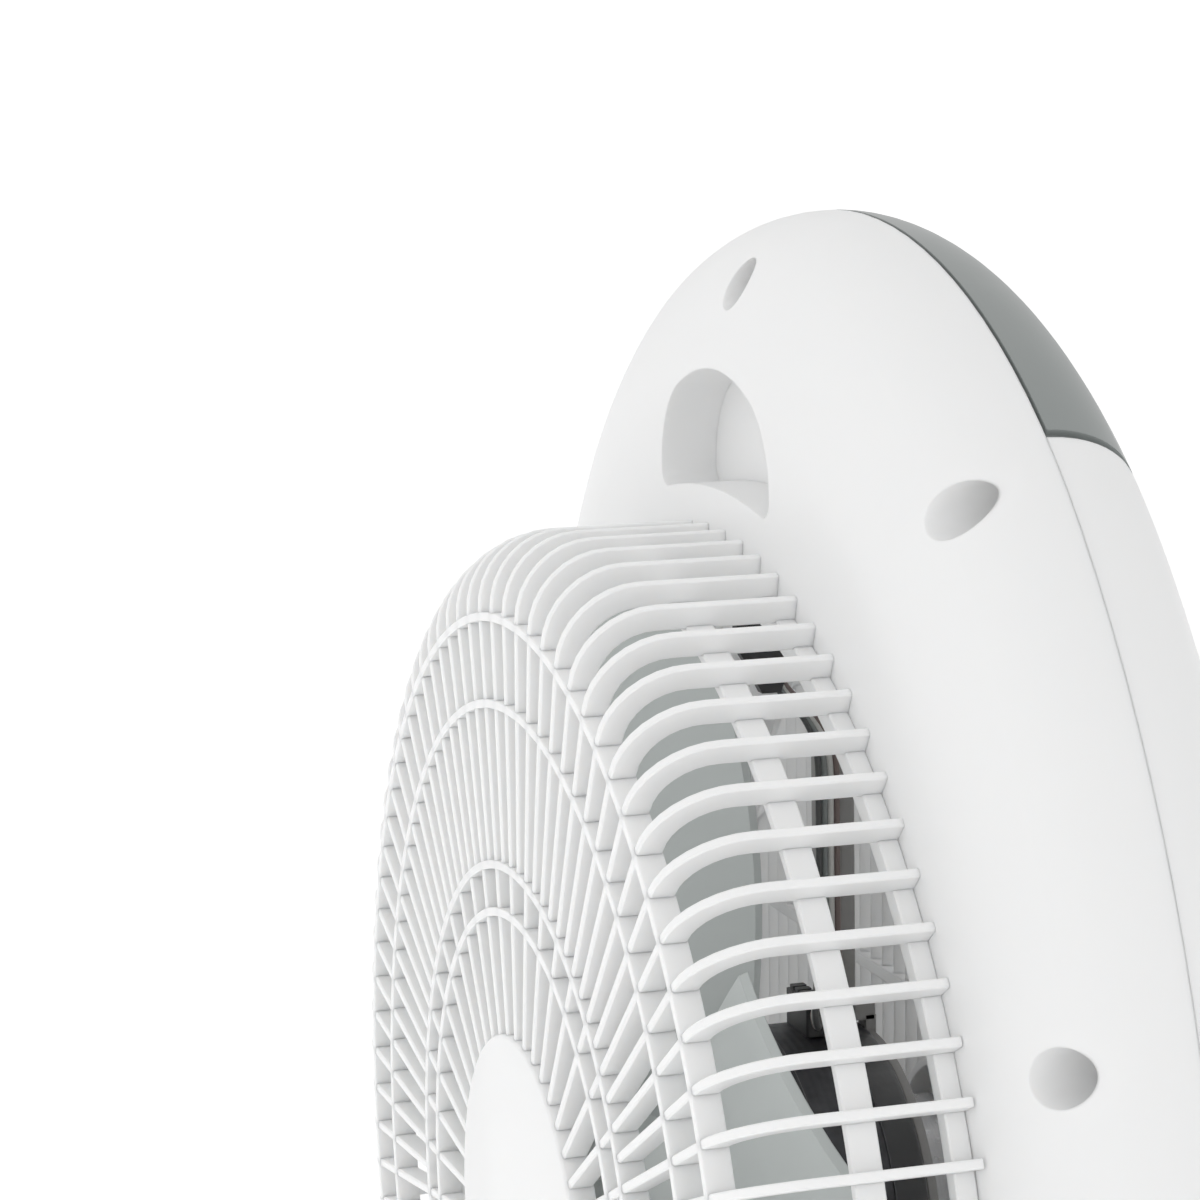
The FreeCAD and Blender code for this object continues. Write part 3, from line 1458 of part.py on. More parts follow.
def foot(side, form):
    """Long foot whose cradle follows the housing, with recesses for its screws."""
    front = -float(S.foot_front)
    rear = float(S.foot_rear)
    horn = float(S.horn_reach)
    high = HOUSING_LOW + float(S.horn_rise)
    width = float(S.foot_outer - S.foot_inner)
    outline = [
        Vector(0, front, FOOT_LOW),
        Vector(0, rear, FOOT_LOW),
        Vector(0, rear, FOOT_TOE),
        Vector(0, horn, high),
        Vector(0, -horn, high),
        Vector(0, front, FOOT_TOE),
        Vector(0, front, FOOT_LOW),
    ]
    low_x = float(S.foot_inner) if side > 0 else -float(S.foot_outer)
    solid = Part.Face(Part.makePolygon(outline)).extrude(Vector(width, 0, 0))
    solid.translate(Vector(low_x, 0, 0))
    corners = [
        edge
        for edge in solid.Edges
        if abs(edge.tangentAt(edge.FirstParameter).z) > 0.99
    ]
    solid = solid.makeFillet(float(S.foot_corner), corners).cut(form)
    cuts = []
    for x, y in FOOT_SCREW_SPOTS:
        recess = S.screw_head_radius + S.screw_clearance
        cuts.append(post(recess, x, y, FOOT_LOW - 1, SCREW_SEAT))
        cuts.append(post(SHANK_HOLE, x, y, FOOT_LOW, high))
    return solid.cut(cuts)


def foot_pads():
    """Four rubber pads under the feet."""
    middle = float(S.foot_inner + S.foot_outer) / 2
    inset = float(S.pad_inset)
    return [
        post(S.pad_radius, side * middle, y, 0, FOOT_LOW)
        for side in (-1, 1)
        for y in (inset - float(S.foot_front), float(S.foot_rear) - inset)
    ]


def foot_screws():
    screws = []
    for x, y in FOOT_SCREW_SPOTS:
        head = post(S.screw_head_radius, x, y, SCREW_SEAT - float(S.screw_head_rise), SCREW_SEAT)
        shank = post(S.screw_radius, x, y, SCREW_SEAT, SCREW_SEAT + float(S.foot_screw_length))
        screws.append(head.fuse(shank))
    return screws


CRADLE = housing_with_play(float(S.foot_play))
new_shape("foot_left", foot(1, CRADLE), FOOT_SPOT)
new_shape("foot_right", foot(-1, CRADLE), FOOT_SPOT)
new_shape("foot_pads", Part.makeCompound(foot_pads()), FOOT_SPOT)
new_shape("foot_screws", Part.makeCompound(foot_screws()), FOOT_SPOT)


# ---------------------------------------------------------------- checks and files

doc.recompute()
for item in doc.Objects:
    if "Invalid" in item.State or "Error" in item.State:
        raise RuntimeError(f"{item.Label} failed: {item.State}")
os.makedirs("parts", exist_ok=True)
for subpart in SUBPARTS:
    shape = subpart.Shape
    if shape.isNull() or not shape.isValid() or not shape.Solids:
        raise RuntimeError(f"{subpart.Label} has no valid solid")
    shape.exportStep(f"parts/{subpart.Label}.step")
    print(f"{subpart.Label}: {len(shape.Solids)} solid(s), {shape.Volume / 1000:.1f} cm3")
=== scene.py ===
# %% [markdown]
# # A box fan with a deep rear grille
#
# This file dresses a box fan. Most of its moulded pieces come from the imported model as they are,
# and the ones that want a finer form are made again here. The lesson is about three things: light
# that suits white plastic, materials that keep white plastic from looking like paper, and slender
# ribs, bent wires, cross recesses and printed marks, which a solid model leaves plain.
#
# The first cell loads the model. Every piece of it is in `NODES` by its name, lengths are in
# metres, +Y points to the back of the fan and +Z up.

# %% Load the frame
import bmesh
import bpy
import json
import math
from mathutils import Matrix, Vector
from mathutils.bvhtree import BVHTree


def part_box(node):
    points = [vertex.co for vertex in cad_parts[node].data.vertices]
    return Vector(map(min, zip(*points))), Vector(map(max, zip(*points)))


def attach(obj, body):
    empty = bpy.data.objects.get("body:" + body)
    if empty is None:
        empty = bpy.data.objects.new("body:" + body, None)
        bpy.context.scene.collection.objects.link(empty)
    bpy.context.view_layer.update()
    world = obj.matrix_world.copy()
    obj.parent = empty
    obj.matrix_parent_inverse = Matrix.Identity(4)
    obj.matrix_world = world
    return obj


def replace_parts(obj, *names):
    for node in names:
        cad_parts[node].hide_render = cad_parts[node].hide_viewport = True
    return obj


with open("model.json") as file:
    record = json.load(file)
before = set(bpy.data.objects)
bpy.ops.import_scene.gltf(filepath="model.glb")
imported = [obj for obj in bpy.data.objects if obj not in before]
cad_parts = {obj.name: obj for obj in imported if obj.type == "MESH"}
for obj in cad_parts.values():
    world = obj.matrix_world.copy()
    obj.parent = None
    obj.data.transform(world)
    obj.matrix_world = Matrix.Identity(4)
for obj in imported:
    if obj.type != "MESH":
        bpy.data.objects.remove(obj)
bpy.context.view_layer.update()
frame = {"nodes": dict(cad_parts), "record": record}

NODES = frame["nodes"]
MM = 0.001
print("pieces in the frame:", len(NODES))

# %% [markdown]
# ## The camera
#
# The fan is seen from behind, from its own left-hand side and a little above its centre. A long
# lens keeps the drum of the grille from bulging. The aim is given as three turns: how far the
# camera looks round the fan, how far it looks down, and how far it leans to one side. Two cross
# products turn the line of sight into the camera's right and up, and those three vectors are the
# columns of its matrix.

# %% Camera
CAMERA_PLACE = Vector((-0.71865, 0.26581, 0.47006))
LOOKS_ROUND = math.radians(73.087)
LOOKS_DOWN = math.radians(8.7515)
LEANS = math.radians(-1.0426)
LENS = 100.92
SENSOR = 36

forward = Vector(
    (
        math.sin(LOOKS_ROUND) * math.cos(LOOKS_DOWN),
        -math.cos(LOOKS_ROUND) * math.cos(LOOKS_DOWN),
        -math.sin(LOOKS_DOWN),
    )
)
level_right = forward.cross(Vector((0, 0, 1))).normalized()
level_up = level_right.cross(forward)
right = level_right * math.cos(LEANS) + level_up * math.sin(LEANS)
up = level_up * math.cos(LEANS) - level_right * math.sin(LEANS)

camera_data = bpy.data.cameras.new("camera")
camera_data.lens = LENS
camera_data.sensor_width = SENSOR
camera = bpy.data.objects.new("camera", camera_data)
turn = Matrix((right, up, -forward)).transposed().to_4x4()
camera.matrix_world = Matrix.Translation(CAMERA_PLACE) @ turn
bpy.context.scene.collection.objects.link(camera)
bpy.context.scene.camera = camera
print("camera lens:", round(camera_data.lens, 1), "mm")

# %% [markdown]
# ## Light
#
# White plastic in front of a white wall lives on small differences of grey, so the light has to be
# soft and still come from somewhere. A large tent of white cloth does that in a studio: light
# reaches the fan from all round, and a little more from the side that the lamps stand on. Here the
# sky is the tent. Its brightness is even, plus a gentle slope towards the lamps, which stand behind
# the fan and above it, slightly to the side that the camera is on. A dot product of the direction
# with the lamps' direction gives that slope.
#
# Behind the fan the wall should be plain white without lighting the fan any more than the tent
# does. The Light Path node is 1 for what the camera sees directly and 0 for light that reaches a
# surface, so it lifts the wall alone. The view's gamma then opens up the light greys a little.

# %% Light
VIEW_GAMMA = 1.1
TENT_LIGHT = 0.81
TENT_SLOPE = 0.17
WALL_LIFT = 0.5
LAMP_SIDE = Vector((-0.1, 0.85, 0.45)).normalized()

scene = bpy.context.scene
scene.view_settings.view_transform = "Standard"
scene.view_settings.gamma = VIEW_GAMMA

sky = bpy.data.worlds.new("tent")
sky.use_nodes = True
tent = sky.node_tree
tent_light = tent.nodes["Background"]
tent_light.inputs["Color"].default_value = (1.0, 1.0, 1.0, 1.0)
direction = tent.nodes.new("ShaderNodeTexCoord")
towards_lamps = tent.nodes.new("ShaderNodeVectorMath")
towards_lamps.operation = "DOT_PRODUCT"
towards_lamps.inputs[1].default_value = LAMP_SIDE
brightness = tent.nodes.new("ShaderNodeMath")
brightness.operation = "MULTIPLY_ADD"
brightness.inputs[1].default_value = TENT_SLOPE
brightness.inputs[2].default_value = TENT_LIGHT
seen = tent.nodes.new("ShaderNodeLightPath")
lifted = tent.nodes.new("ShaderNodeMath")
lifted.operation = "MULTIPLY_ADD"
lifted.inputs[1].default_value = WALL_LIFT
tent.links.new(direction.outputs["Generated"], towards_lamps.inputs[0])
tent.links.new(towards_lamps.outputs["Value"], brightness.inputs[0])
tent.links.new(seen.outputs["Is Camera Ray"], lifted.inputs[0])
tent.links.new(brightness.outputs["Value"], lifted.inputs[2])
tent.links.new(lifted.outputs["Value"], tent_light.inputs["Strength"])
scene.world = sky
print("tent light:", TENT_LIGHT, "slope:", TENT_SLOPE)

# %% [markdown]
# ## Floor
#
# The fan stands on pale paper that runs out of sight in every direction, so the floor is one large
# square at the height of the feet. Its finish comes later, with the others.

# %% Floor
FLOOR_REACH = 40
floor_mesh = bpy.data.meshes.new("floor")
floor_mesh.from_pydata(
    [(x * FLOOR_REACH, y * FLOOR_REACH, 0) for x, y in ((-1, -1), (1, -1), (1, 1), (-1, 1))],
    [],
    [(0, 1, 2, 3)],
)
floor = bpy.data.objects.new("floor", floor_mesh)
scene.collection.objects.link(floor)
print("floor reaches", FLOOR_REACH, "m each way")

# %% [markdown]
# ## Building materials from nodes
#
# A material here is a Principled shader with a few effects plugged into it. Effects that several
# materials share are node groups. A group is like a small machine: it is built once, has named
# inputs and outputs, and every material that uses it sets its own values. Two short helpers make
# the groups and wire them up: one for an empty group with its sockets, one for a node that is
# linked or set in the same line that makes it.

# %% Helpers for nodes
def new_group(name, inputs, outputs):
    """An empty shader group with its named sockets, and its two end nodes."""
    group = bpy.data.node_groups.new(name, "ShaderNodeTree")
    for label, value in inputs.items():
        socket = group.interface.new_socket(label, in_out="INPUT", socket_type="NodeSocketFloat")
        socket.default_value = value
    for label, kind in outputs.items():
        group.interface.new_socket(label, in_out="OUTPUT", socket_type=kind)
    start = group.nodes.new("NodeGroupInput")
    end = group.nodes.new("NodeGroupOutput")
    return group, start, end


def add(tree, kind, links=(), **settings):
    """A node with its properties set and its inputs either linked or given a value."""
    node = tree.nodes.new(kind)
    for key, value in settings.items():
        setattr(node, key, value)
    for socket, source in dict(links).items():
        if isinstance(source, bpy.types.NodeSocket):
            tree.links.new(source, node.inputs[socket])
        else:
            node.inputs[socket].default_value = source
    return node


FLOAT = "NodeSocketFloat"
NORMAL = "NodeSocketVector"
print("groups put out:", FLOAT, "and", NORMAL)

# %% [markdown]
# ### The skin of a moulded piece
#
# The tool that moulds a plastic shell is spark-eroded, so the shell carries a very fine grain.
# Under it lies a slow waviness where the plastic shrank as it cooled. Neither is seen as a bump;
# together they break up the reflections. The group puts out a height for a Bump node, in which the
# waves count for more than the grain, and a slow drift that the material uses to vary its colour
# and its gloss.

# %% Group: moulded skin
WAVE_SHARE = 6.0

moulded_skin, start, end = new_group(
    "moulded_skin",
    {"Grain per metre": 2200.0, "Wave per metre": 28.0},
    {"Height": FLOAT, "Drift": FLOAT},
)
place = add(moulded_skin, "ShaderNodeTexCoord")
grain = add(
    moulded_skin,
    "ShaderNodeTexNoise",
    {"Vector": place.outputs["Object"], "Scale": start.outputs["Grain per metre"], "Detail": 2.0},
)
wave = add(
    moulded_skin,
    "ShaderNodeTexNoise",
    {"Vector": place.outputs["Object"], "Scale": start.outputs["Wave per metre"], "Detail": 3.0},
)
height = add(
    moulded_skin,
    "ShaderNodeMath",
    {0: wave.outputs["Fac"], 1: WAVE_SHARE, 2: grain.outputs["Fac"]},
    operation="MULTIPLY_ADD",
)
moulded_skin.links.new(height.outputs["Value"], end.inputs["Height"])
moulded_skin.links.new(wave.outputs["Fac"], end.inputs["Drift"])
print("group:", moulded_skin.name)

# %% [markdown]
# ### Soft edges
#
# No moulded edge is truly sharp: it has a small round that catches a line of light. The Bevel node
# rounds the shading of every edge without adding a face. Comparing its normal with the true one
# also tells where the edges are. On the plastics that mask is used for the slight polish that hands
# and cloths leave there, and on the enamel for a painted highlight along the edges.

# %% Group: soft edges
soft_edges, start, end = new_group(
    "soft_edges", {"Radius": 0.0004}, {"Normal": NORMAL, "Edge": FLOAT}
)
rounded = add(soft_edges, "ShaderNodeBevel", {"Radius": start.outputs["Radius"]}, samples=6)
true_face = add(soft_edges, "ShaderNodeNewGeometry")
agreement = add(
    soft_edges,
    "ShaderNodeVectorMath",
    {0: rounded.outputs["Normal"], 1: true_face.outputs["Normal"]},
    operation="DOT_PRODUCT",
)
edge = add(
    soft_edges,
    "ShaderNodeMapRange",
    {"Value": agreement.outputs["Value"], "From Min": 0.995, "From Max": 0.80},
)
soft_edges.links.new(rounded.outputs["Normal"], end.inputs["Normal"])
soft_edges.links.new(edge.outputs["Result"], end.inputs["Edge"])
print("group:", soft_edges.name)

# %% [markdown]
# ### Settled dust
#
# A fan draws air, and fine dust settles on what faces up and in the corners. On a clean fan it is
# barely there, but without it the flat tops look unreal. The mask is strongest where the surface
# faces up, and noise breaks it into faint clouds.

# %% Group: settled dust
settled_dust, start, end = new_group("settled_dust", {"Amount": 0.1}, {"Mask": FLOAT})
facing = add(settled_dust, "ShaderNodeNewGeometry")
upward = add(settled_dust, "ShaderNodeSeparateXYZ", {0: facing.outputs["Normal"]})
lying = add(
    settled_dust,
    "ShaderNodeMapRange",
    {"Value": upward.outputs["Z"], "From Min": 0.35, "From Max": 1.0},
)
place = add(settled_dust, "ShaderNodeTexCoord")
clouds = add(
    settled_dust,
    "ShaderNodeTexNoise",
    {"Vector": place.outputs["Object"], "Scale": 90.0, "Detail": 5.0, "Roughness": 0.65},
)
patchy = add(
    settled_dust,
    "ShaderNodeMath",
    {0: lying.outputs["Result"], 1: clouds.outputs["Fac"]},
    operation="MULTIPLY",
)
mask = add(
    settled_dust,
    "ShaderNodeMath",
    {0: patchy.outputs["Value"], 1: start.outputs["Amount"]},
    operation="MULTIPLY",
)
settled_dust.links.new(mask.outputs["Value"], end.inputs["Mask"])
print("group:", settled_dust.name)

# %% [markdown]
# ### One recipe for all the plastics
#
# White shells, the grey panel, the blade and the dark plastics differ in colour, gloss and grain,
# and share the rest, so they come from one function. Two helpers serve every recipe here: one
# starts a material, and the other puts a shared group in it.

# %% Starting a material
def principled(name):
    """A new material and its shader."""
    material = bpy.data.materials.new(name)
    material.use_nodes = True
    return material, material.node_tree, material.node_tree.nodes["Principled BSDF"]


def use_group(tree, group, **values):
    """One of the shared groups in a material, with its inputs set. An underscore is a space."""
    node = tree.nodes.new("ShaderNodeGroup")
    node.node_tree = group
    for key, value in values.items():
        node.inputs[key.replace("_", " ")].default_value = value
    return node


print("shared groups:", [group.name for group in bpy.data.node_groups])

# %% [markdown]
# The recipe mixes two near colours by the slow drift, lays the dust over them, varies the roughness
# a little and polishes the edges. Light sinks a millimetre or two into white plastic before it
# comes out again, so a thin rib is never quite dark on its shaded side: that is what the sunk share
# and depth are for.

# %% Plastic recipe
SUNK_DEPTH = 2.0 * MM
SUNK_RADIUS = (1.0, 0.95, 0.9)
DUST_COLOUR = (0.55, 0.53, 0.50, 1)
GLOSS_DRIFT = 0.06
EDGE_POLISH = -0.08
BUMP_DEPTH = 0.4 * MM


def plastic(name, colour, shade, gloss, grain=2200.0, bump=0.02, edge=0.0004, dust=0.1, sunk=0.0):
    """Moulded plastic. colour and shade are two near tones, gloss is the middle roughness."""
    material, tree, shader = principled(name)
    shader.inputs["Subsurface Weight"].default_value = sunk
    shader.inputs["Subsurface Radius"].default_value = SUNK_RADIUS
    shader.inputs["Subsurface Scale"].default_value = SUNK_DEPTH
    skin = use_group(tree, moulded_skin, Grain_per_metre=grain)
    corners = use_group(tree, soft_edges, Radius=edge)
    powder = use_group(tree, settled_dust, Amount=dust)
    tone = add(
        tree,
        "ShaderNodeMix",
        {"Factor": skin.outputs["Drift"], "A": (*colour, 1), "B": (*shade, 1)},
        data_type="RGBA",
    )
    dusty = add(
        tree,
        "ShaderNodeMix",
        {"Factor": powder.outputs["Mask"], "A": tone.outputs["Result"], "B": DUST_COLOUR},
        data_type="RGBA",
    )
    rough = add(
        tree,
        "ShaderNodeMapRange",
        {
            "Value": skin.outputs["Drift"],
            "To Min": gloss - GLOSS_DRIFT,
            "To Max": gloss + GLOSS_DRIFT,
        },
    )
    polished = add(
        tree,
        "ShaderNodeMath",
        {0: corners.outputs["Edge"], 1: EDGE_POLISH, 2: rough.outputs["Result"]},
        operation="MULTIPLY_ADD",
    )
    relief = add(
        tree,
        "ShaderNodeBump",
        {
            "Strength": bump,
            "Distance": BUMP_DEPTH,
            "Height": skin.outputs["Height"],
            "Normal": corners.outputs["Normal"],
        },
    )
    tree.links.new(dusty.outputs["Result"], shader.inputs["Base Color"])
    tree.links.new(polished.outputs["Value"], shader.inputs["Roughness"])
    tree.links.new(relief.outputs["Normal"], shader.inputs["Normal"])
    return material


print("light sinks", round(SUNK_DEPTH / MM, 1), "mm into white plastic")

# %% [markdown]
# The white of the shells is a neutral, very light grey. Pure white would have no room left for
# light. The grille is a little whiter, because light comes through its thin fins from all sides,
# and its edges are rounded in the mesh, so the shader hardly has to round them. The blade is a cool
# grey-green, the panel is a mid grey with the same cast, and the bracket inside is a warm mid grey.

# %% Plastics
PLASTICS = {
    "white_shell": plastic(
        "white_shell",
        (0.885, 0.887, 0.885),
        (0.868, 0.871, 0.871),
        0.40,
        edge=0.0007,
        dust=0.05,
        sunk=0.4,
    ),
    "white_grille": plastic(
        "white_grille",
        (0.90, 0.902, 0.90),
        (0.885, 0.888, 0.888),
        0.40,
        edge=0.00005,
        dust=0.05,
        sunk=0.6,
    ),
    "grey_panel": plastic("grey_panel", (0.235, 0.255, 0.25), (0.22, 0.24, 0.235), 0.30, dust=0.05),
    "blade_plastic": plastic("blade_plastic", (0.54, 0.575, 0.565), (0.50, 0.535, 0.525), 0.42),
    "dark_plastic": plastic("dark_plastic", (0.025, 0.025, 0.026), (0.035, 0.035, 0.036), 0.5),
    "switch_plastic": plastic("switch_plastic", (0.70, 0.66, 0.56), (0.64, 0.60, 0.50), 0.5),
    "capacitor_case": plastic("capacitor_case", (0.03, 0.035, 0.05), (0.04, 0.045, 0.06), 0.2),
    "bracket_grey": plastic("bracket_grey", (0.30, 0.292, 0.285), (0.26, 0.253, 0.247), 0.45),
}
print("plastics:", sorted(PLASTICS))

# %% [markdown]
# ### Enamel
#
# The motor shows dark between the fins. Its bells are dipped in enamel and baked, so they get a
# satin black with a faint orange peel, which is the moulded skin with a coarser grain, and a thin
# coat of gloss over it.

# %% Enamel recipe
# Lighter grey laid on the enamel's edges as a painted highlight.
ENAMEL_EDGE_HIGHLIGHT = (0.10, 0.10, 0.105, 1)


def enamel(name, colour, roughness):
    """Baked enamel with a soft orange peel, and a painted highlight that makes it lighter at its
    edges.
    """
    material, tree, shader = principled(name)
    skin = use_group(tree, moulded_skin, Grain_per_metre=700.0, Wave_per_metre=120.0)
    corners = use_group(tree, soft_edges, Radius=0.0006)
    # The edge mask mixes the enamel towards a lighter grey: a painted highlight along every edge.
    tone = add(
        tree,
        "ShaderNodeMix",
        {"Factor": corners.outputs["Edge"], "A": (*colour, 1), "B": ENAMEL_EDGE_HIGHLIGHT},
        data_type="RGBA",
    )
    relief = add(
        tree,
        "ShaderNodeBump",
        {
            "Strength": 0.12,
            "Distance": 0.0003,
            "Height": skin.outputs["Height"],
            "Normal": corners.outputs["Normal"],
        },
    )
    rough = add(
        tree,
        "ShaderNodeMapRange",
        {"Value": skin.outputs["Drift"], "To Min": roughness - 0.08, "To Max": roughness + 0.08},
    )
    tree.links.new(tone.outputs["Result"], shader.inputs["Base Color"])
    tree.links.new(rough.outputs["Result"], shader.inputs["Roughness"])
    tree.links.new(relief.outputs["Normal"], shader.inputs["Normal"])
    shader.inputs["Coat Weight"].default_value = 0.3
    return material


print("painted edge highlight on enamel:", ENAMEL_EDGE_HIGHLIGHT[:3])

# %% [markdown]
# ### Bare metal
#
# Bare metal is never one grey: it is mottled in colour and in gloss. Turned steel and wound wire
# also carry fine lines round their axis, and a core that is stacked from thin sheets does too. A
# wave texture draws those lines, as a height for the bump.

# %% Bare metal recipe
LINE_DEPTH = 0.2 * MM


def metal(name, bright, dull, roughness, lines=0.0, axis="Y"):
    """Metal with a mottle, and with fine lines across an axis where lines gives their number."""
    material, tree, shader = principled(name)
    skin = use_group(tree, moulded_skin, Grain_per_metre=900.0, Wave_per_metre=300.0)
    corners = use_group(tree, soft_edges, Radius=0.0003)
    tone = add(
        tree,
        "ShaderNodeMix",
        {"Factor": skin.outputs["Drift"], "A": (*bright, 1), "B": (*dull, 1)},
        data_type="RGBA",
    )
    rough = add(
        tree,
        "ShaderNodeMapRange",
        {"Value": skin.outputs["Drift"], "To Min": roughness - 0.08, "To Max": roughness + 0.10},
    )
    relief_height = skin.outputs["Height"]
    if lines:
        place = add(tree, "ShaderNodeTexCoord")
        rings = add(
            tree,
            "ShaderNodeTexWave",
            {"Vector": place.outputs["Object"], "Scale": lines},
            bands_direction=axis,
        )
        relief_height = rings.outputs["Fac"]
    relief = add(
        tree,
        "ShaderNodeBump",
        {
            "Strength": 0.25,
            "Distance": LINE_DEPTH,
            "Height": relief_height,
            "Normal": corners.outputs["Normal"],
        },
    )
    shader.inputs["Metallic"].default_value = 1.0
    tree.links.new(tone.outputs["Result"], shader.inputs["Base Color"])
    tree.links.new(rough.outputs["Result"], shader.inputs["Roughness"])
    tree.links.new(relief.outputs["Normal"], shader.inputs["Normal"])
    return material


print("lines of turned metal:", round(LINE_DEPTH / MM, 1), "mm deep at most")

# %% [markdown]
# ### Metals and rubber
#
# The numbers say how bright each metal is, how dull, how rough, and how many lines it has. Zinc on
# screws has none. The rubber of the pads is a plastic that is matt and slightly pitted.

# %% Metals and rubber
METALS = {
    "black_enamel": enamel("black_enamel", (0.022, 0.022, 0.024), 0.35),
    "laminated_core": metal("laminated_core", (0.10, 0.10, 0.105), (0.06, 0.06, 0.065), 0.5, 160.0),
    "bare_steel": metal("bare_steel", (0.60, 0.60, 0.61), (0.48, 0.48, 0.49), 0.28, 400.0),
    "copper_wire": metal("copper_wire", (0.70, 0.30, 0.13), (0.52, 0.20, 0.08), 0.3, 320.0),
    "bearing_bronze": metal("bearing_bronze", (0.60, 0.43, 0.22), (0.45, 0.31, 0.15), 0.45),
    "screw_steel": metal("screw_steel", (0.66, 0.66, 0.64), (0.52, 0.52, 0.50), 0.35),
}
pad_rubber = plastic(
    "pad_rubber", (0.035, 0.035, 0.037), (0.05, 0.05, 0.052), 0.8, grain=1400.0, bump=0.3, dust=0.2
)
print("metals:", sorted(METALS))

# %% [markdown]
# ## Dressing the pieces of the frame
#
# The record names a material slot for every piece, so the pieces of the frame find their finish by
# that name. The ones that are made again further down get theirs there.

# %% Dress the pieces
FINISHES = {**PLASTICS, **METALS, "pad_rubber": pad_rubber}
for subpart in frame["record"]["subparts"]:
    piece = NODES[subpart["node"]]
    finish = FINISHES[subpart["material_slot"]]
    piece.data.materials.clear()
    piece.data.materials.append(finish)

# %% [markdown]
# The floor is matt paper. Paper that is lit from below the edge of the set seems to glow a little,
# and it takes the hardness out of the shadow under the feet, so the floor gives off some light of
# its own.

# %% Floor finish
FLOOR_GLOW = 0.25

floor_finish, tree, shader = principled("pale_floor")
shader.inputs["Base Color"].default_value = (0.97, 0.97, 0.97, 1)
shader.inputs["Roughness"].default_value = 0.9
shader.inputs["Emission Color"].default_value = (1, 1, 1, 1)
shader.inputs["Emission Strength"].default_value = FLOOR_GLOW
floor_mesh.materials.append(floor_finish)
print("floor glow:", FLOOR_GLOW)

# %% [markdown]
# ## Benches and tools for new pieces
#
# Some pieces of the frame are too plain, or not quite slender enough, so they are made again here
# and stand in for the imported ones. Nearly all of them come from two moves: a section that is turned
# about the fan's axis, and a section that is carried along a path. Both work on a bmesh, which is
# a mesh that can still be edited, and which is called the bench here.
#
# The first move is the lathe. A profile is a closed row of points, each with its place along the
# axis and its distance from it. Copies of it stand round the axis like spokes, and each is joined
# to the next with faces. A tube with broken edges is the profile that is wanted most.

# %% Turned forms
AXIS_HEIGHT = 0.205
AXIS = Vector((0, 0, AXIS_HEIGHT))


def on_circle(angle, radius, y=0.0):
    """A point at an angle from the top of the fan, clockwise from behind, in degrees."""
    turn = math.radians(angle)
    return Vector((radius * math.sin(turn), y, AXIS_HEIGHT + radius * math.cos(turn)))


def turned(bench, profile, steps=96, centre=(0.0, AXIS_HEIGHT)):
    """A closed profile of (y, radius) in metres, turned about an axis that runs along Y."""
    rings = []
    for step in range(steps):
        turn = 2 * math.pi * step / steps
        rings.append(
            [
                bench.verts.new((centre[0] + r * math.sin(turn), y, centre[1] + r * math.cos(turn)))
                for y, r in profile
            ]
        )
    for ring, following in zip(rings, rings[1:] + rings[:1]):
        for i in range(len(profile)):
            j = (i + 1) % len(profile)
            bench.faces.new((ring[i], ring[j], following[j], following[i]))


def tube(low, high, inner, outer, edge=0.0):
    """Profile of a tube whose four edges are broken by a small bevel."""
    return [
        (low + edge, inner),
        (low, inner + edge),
        (low, outer - edge),
        (low + edge, outer),
        (high - edge, outer),
        (high, outer - edge),
        (high, inner + edge),
        (high - edge, inner),
    ]


print("axis of the fan:", round(AXIS_HEIGHT / MM), "mm above the floor")

# %% [markdown]
# The second move is the sweep: rings of points in a row, joined by faces and closed at both ends.
# A straight bar is a sweep of two rings. It is drawn at the top of the fan, where its height is its
# distance from the axis, and then turned to where it belongs.

# %% Swept bars
def swept(bench, sections):
    """A bar through a row of sections, each a closed ring of points, with both ends closed."""
    rings = [[bench.verts.new(point) for point in section] for section in sections]
    count = len(rings[0])
    for ring, following in zip(rings, rings[1:]):
        for i in range(count):
            j = (i + 1) % count
            bench.faces.new((ring[i], ring[j], following[j], following[i]))
    bench.faces.new(rings[0][::-1])
    bench.faces.new(rings[-1])


def beam(bench, low, high, angle=0.0, edge=0.0):
    """A bar with bevelled long edges, given at the top of the fan and turned about its axis."""
    turn = Matrix.Rotation(math.radians(angle), 3, "Y")
    (x0, y0, r0), (x1, y1, r1) = low, high
    outline = [
        (x0 + edge, y0),
        (x1 - edge, y0),
        (x1, y0 + edge),
        (x1, y1 - edge),
        (x1 - edge, y1),
        (x0 + edge, y1),
        (x0, y1 - edge),
        (x0, y0 + edge),
    ]
    swept(bench, [[turn @ Vector((x, y, r)) + AXIS for x, y in outline] for r in (r0, r1)])


print("bars are turned about", tuple(round(v, 3) for v in AXIS))

# %% [markdown]
# A bench that is done becomes an object. Points that lie on each other are merged, and all faces
# are turned outwards. A piece of the fan also gets its finish, shading that is smooth up to a given
# angle and sharp beyond it, and the moving body that it rides on.

# %% From the bench to the scene
SAME_PLACE = 1e-7


def off_the_bench(name, bench):
    """The bmesh as an object of the scene."""
    bmesh.ops.remove_doubles(bench, verts=bench.verts, dist=SAME_PLACE)
    bmesh.ops.recalc_face_normals(bench, faces=bench.faces)
    mesh = bpy.data.meshes.new(name)
    bench.to_mesh(mesh)
    bench.free()
    piece = bpy.data.objects.new(name, mesh)
    scene.collection.objects.link(piece)
    return piece


def finished(name, bench, finish, body, smooth=35.0):
    """The bmesh as a piece of the fan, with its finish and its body."""
    piece = off_the_bench(name, bench)
    mesh = piece.data
    mesh.materials.append(finish)
    mesh.polygons.foreach_set("use_smooth", [True] * len(mesh.polygons))
    mesh.set_sharp_from_angle(angle=math.radians(smooth))
    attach(piece, body)
    print(name, "-", len(mesh.polygons), "faces")
    return piece


print("points within", round(SAME_PLACE / MM, 4), "mm of each other are merged")

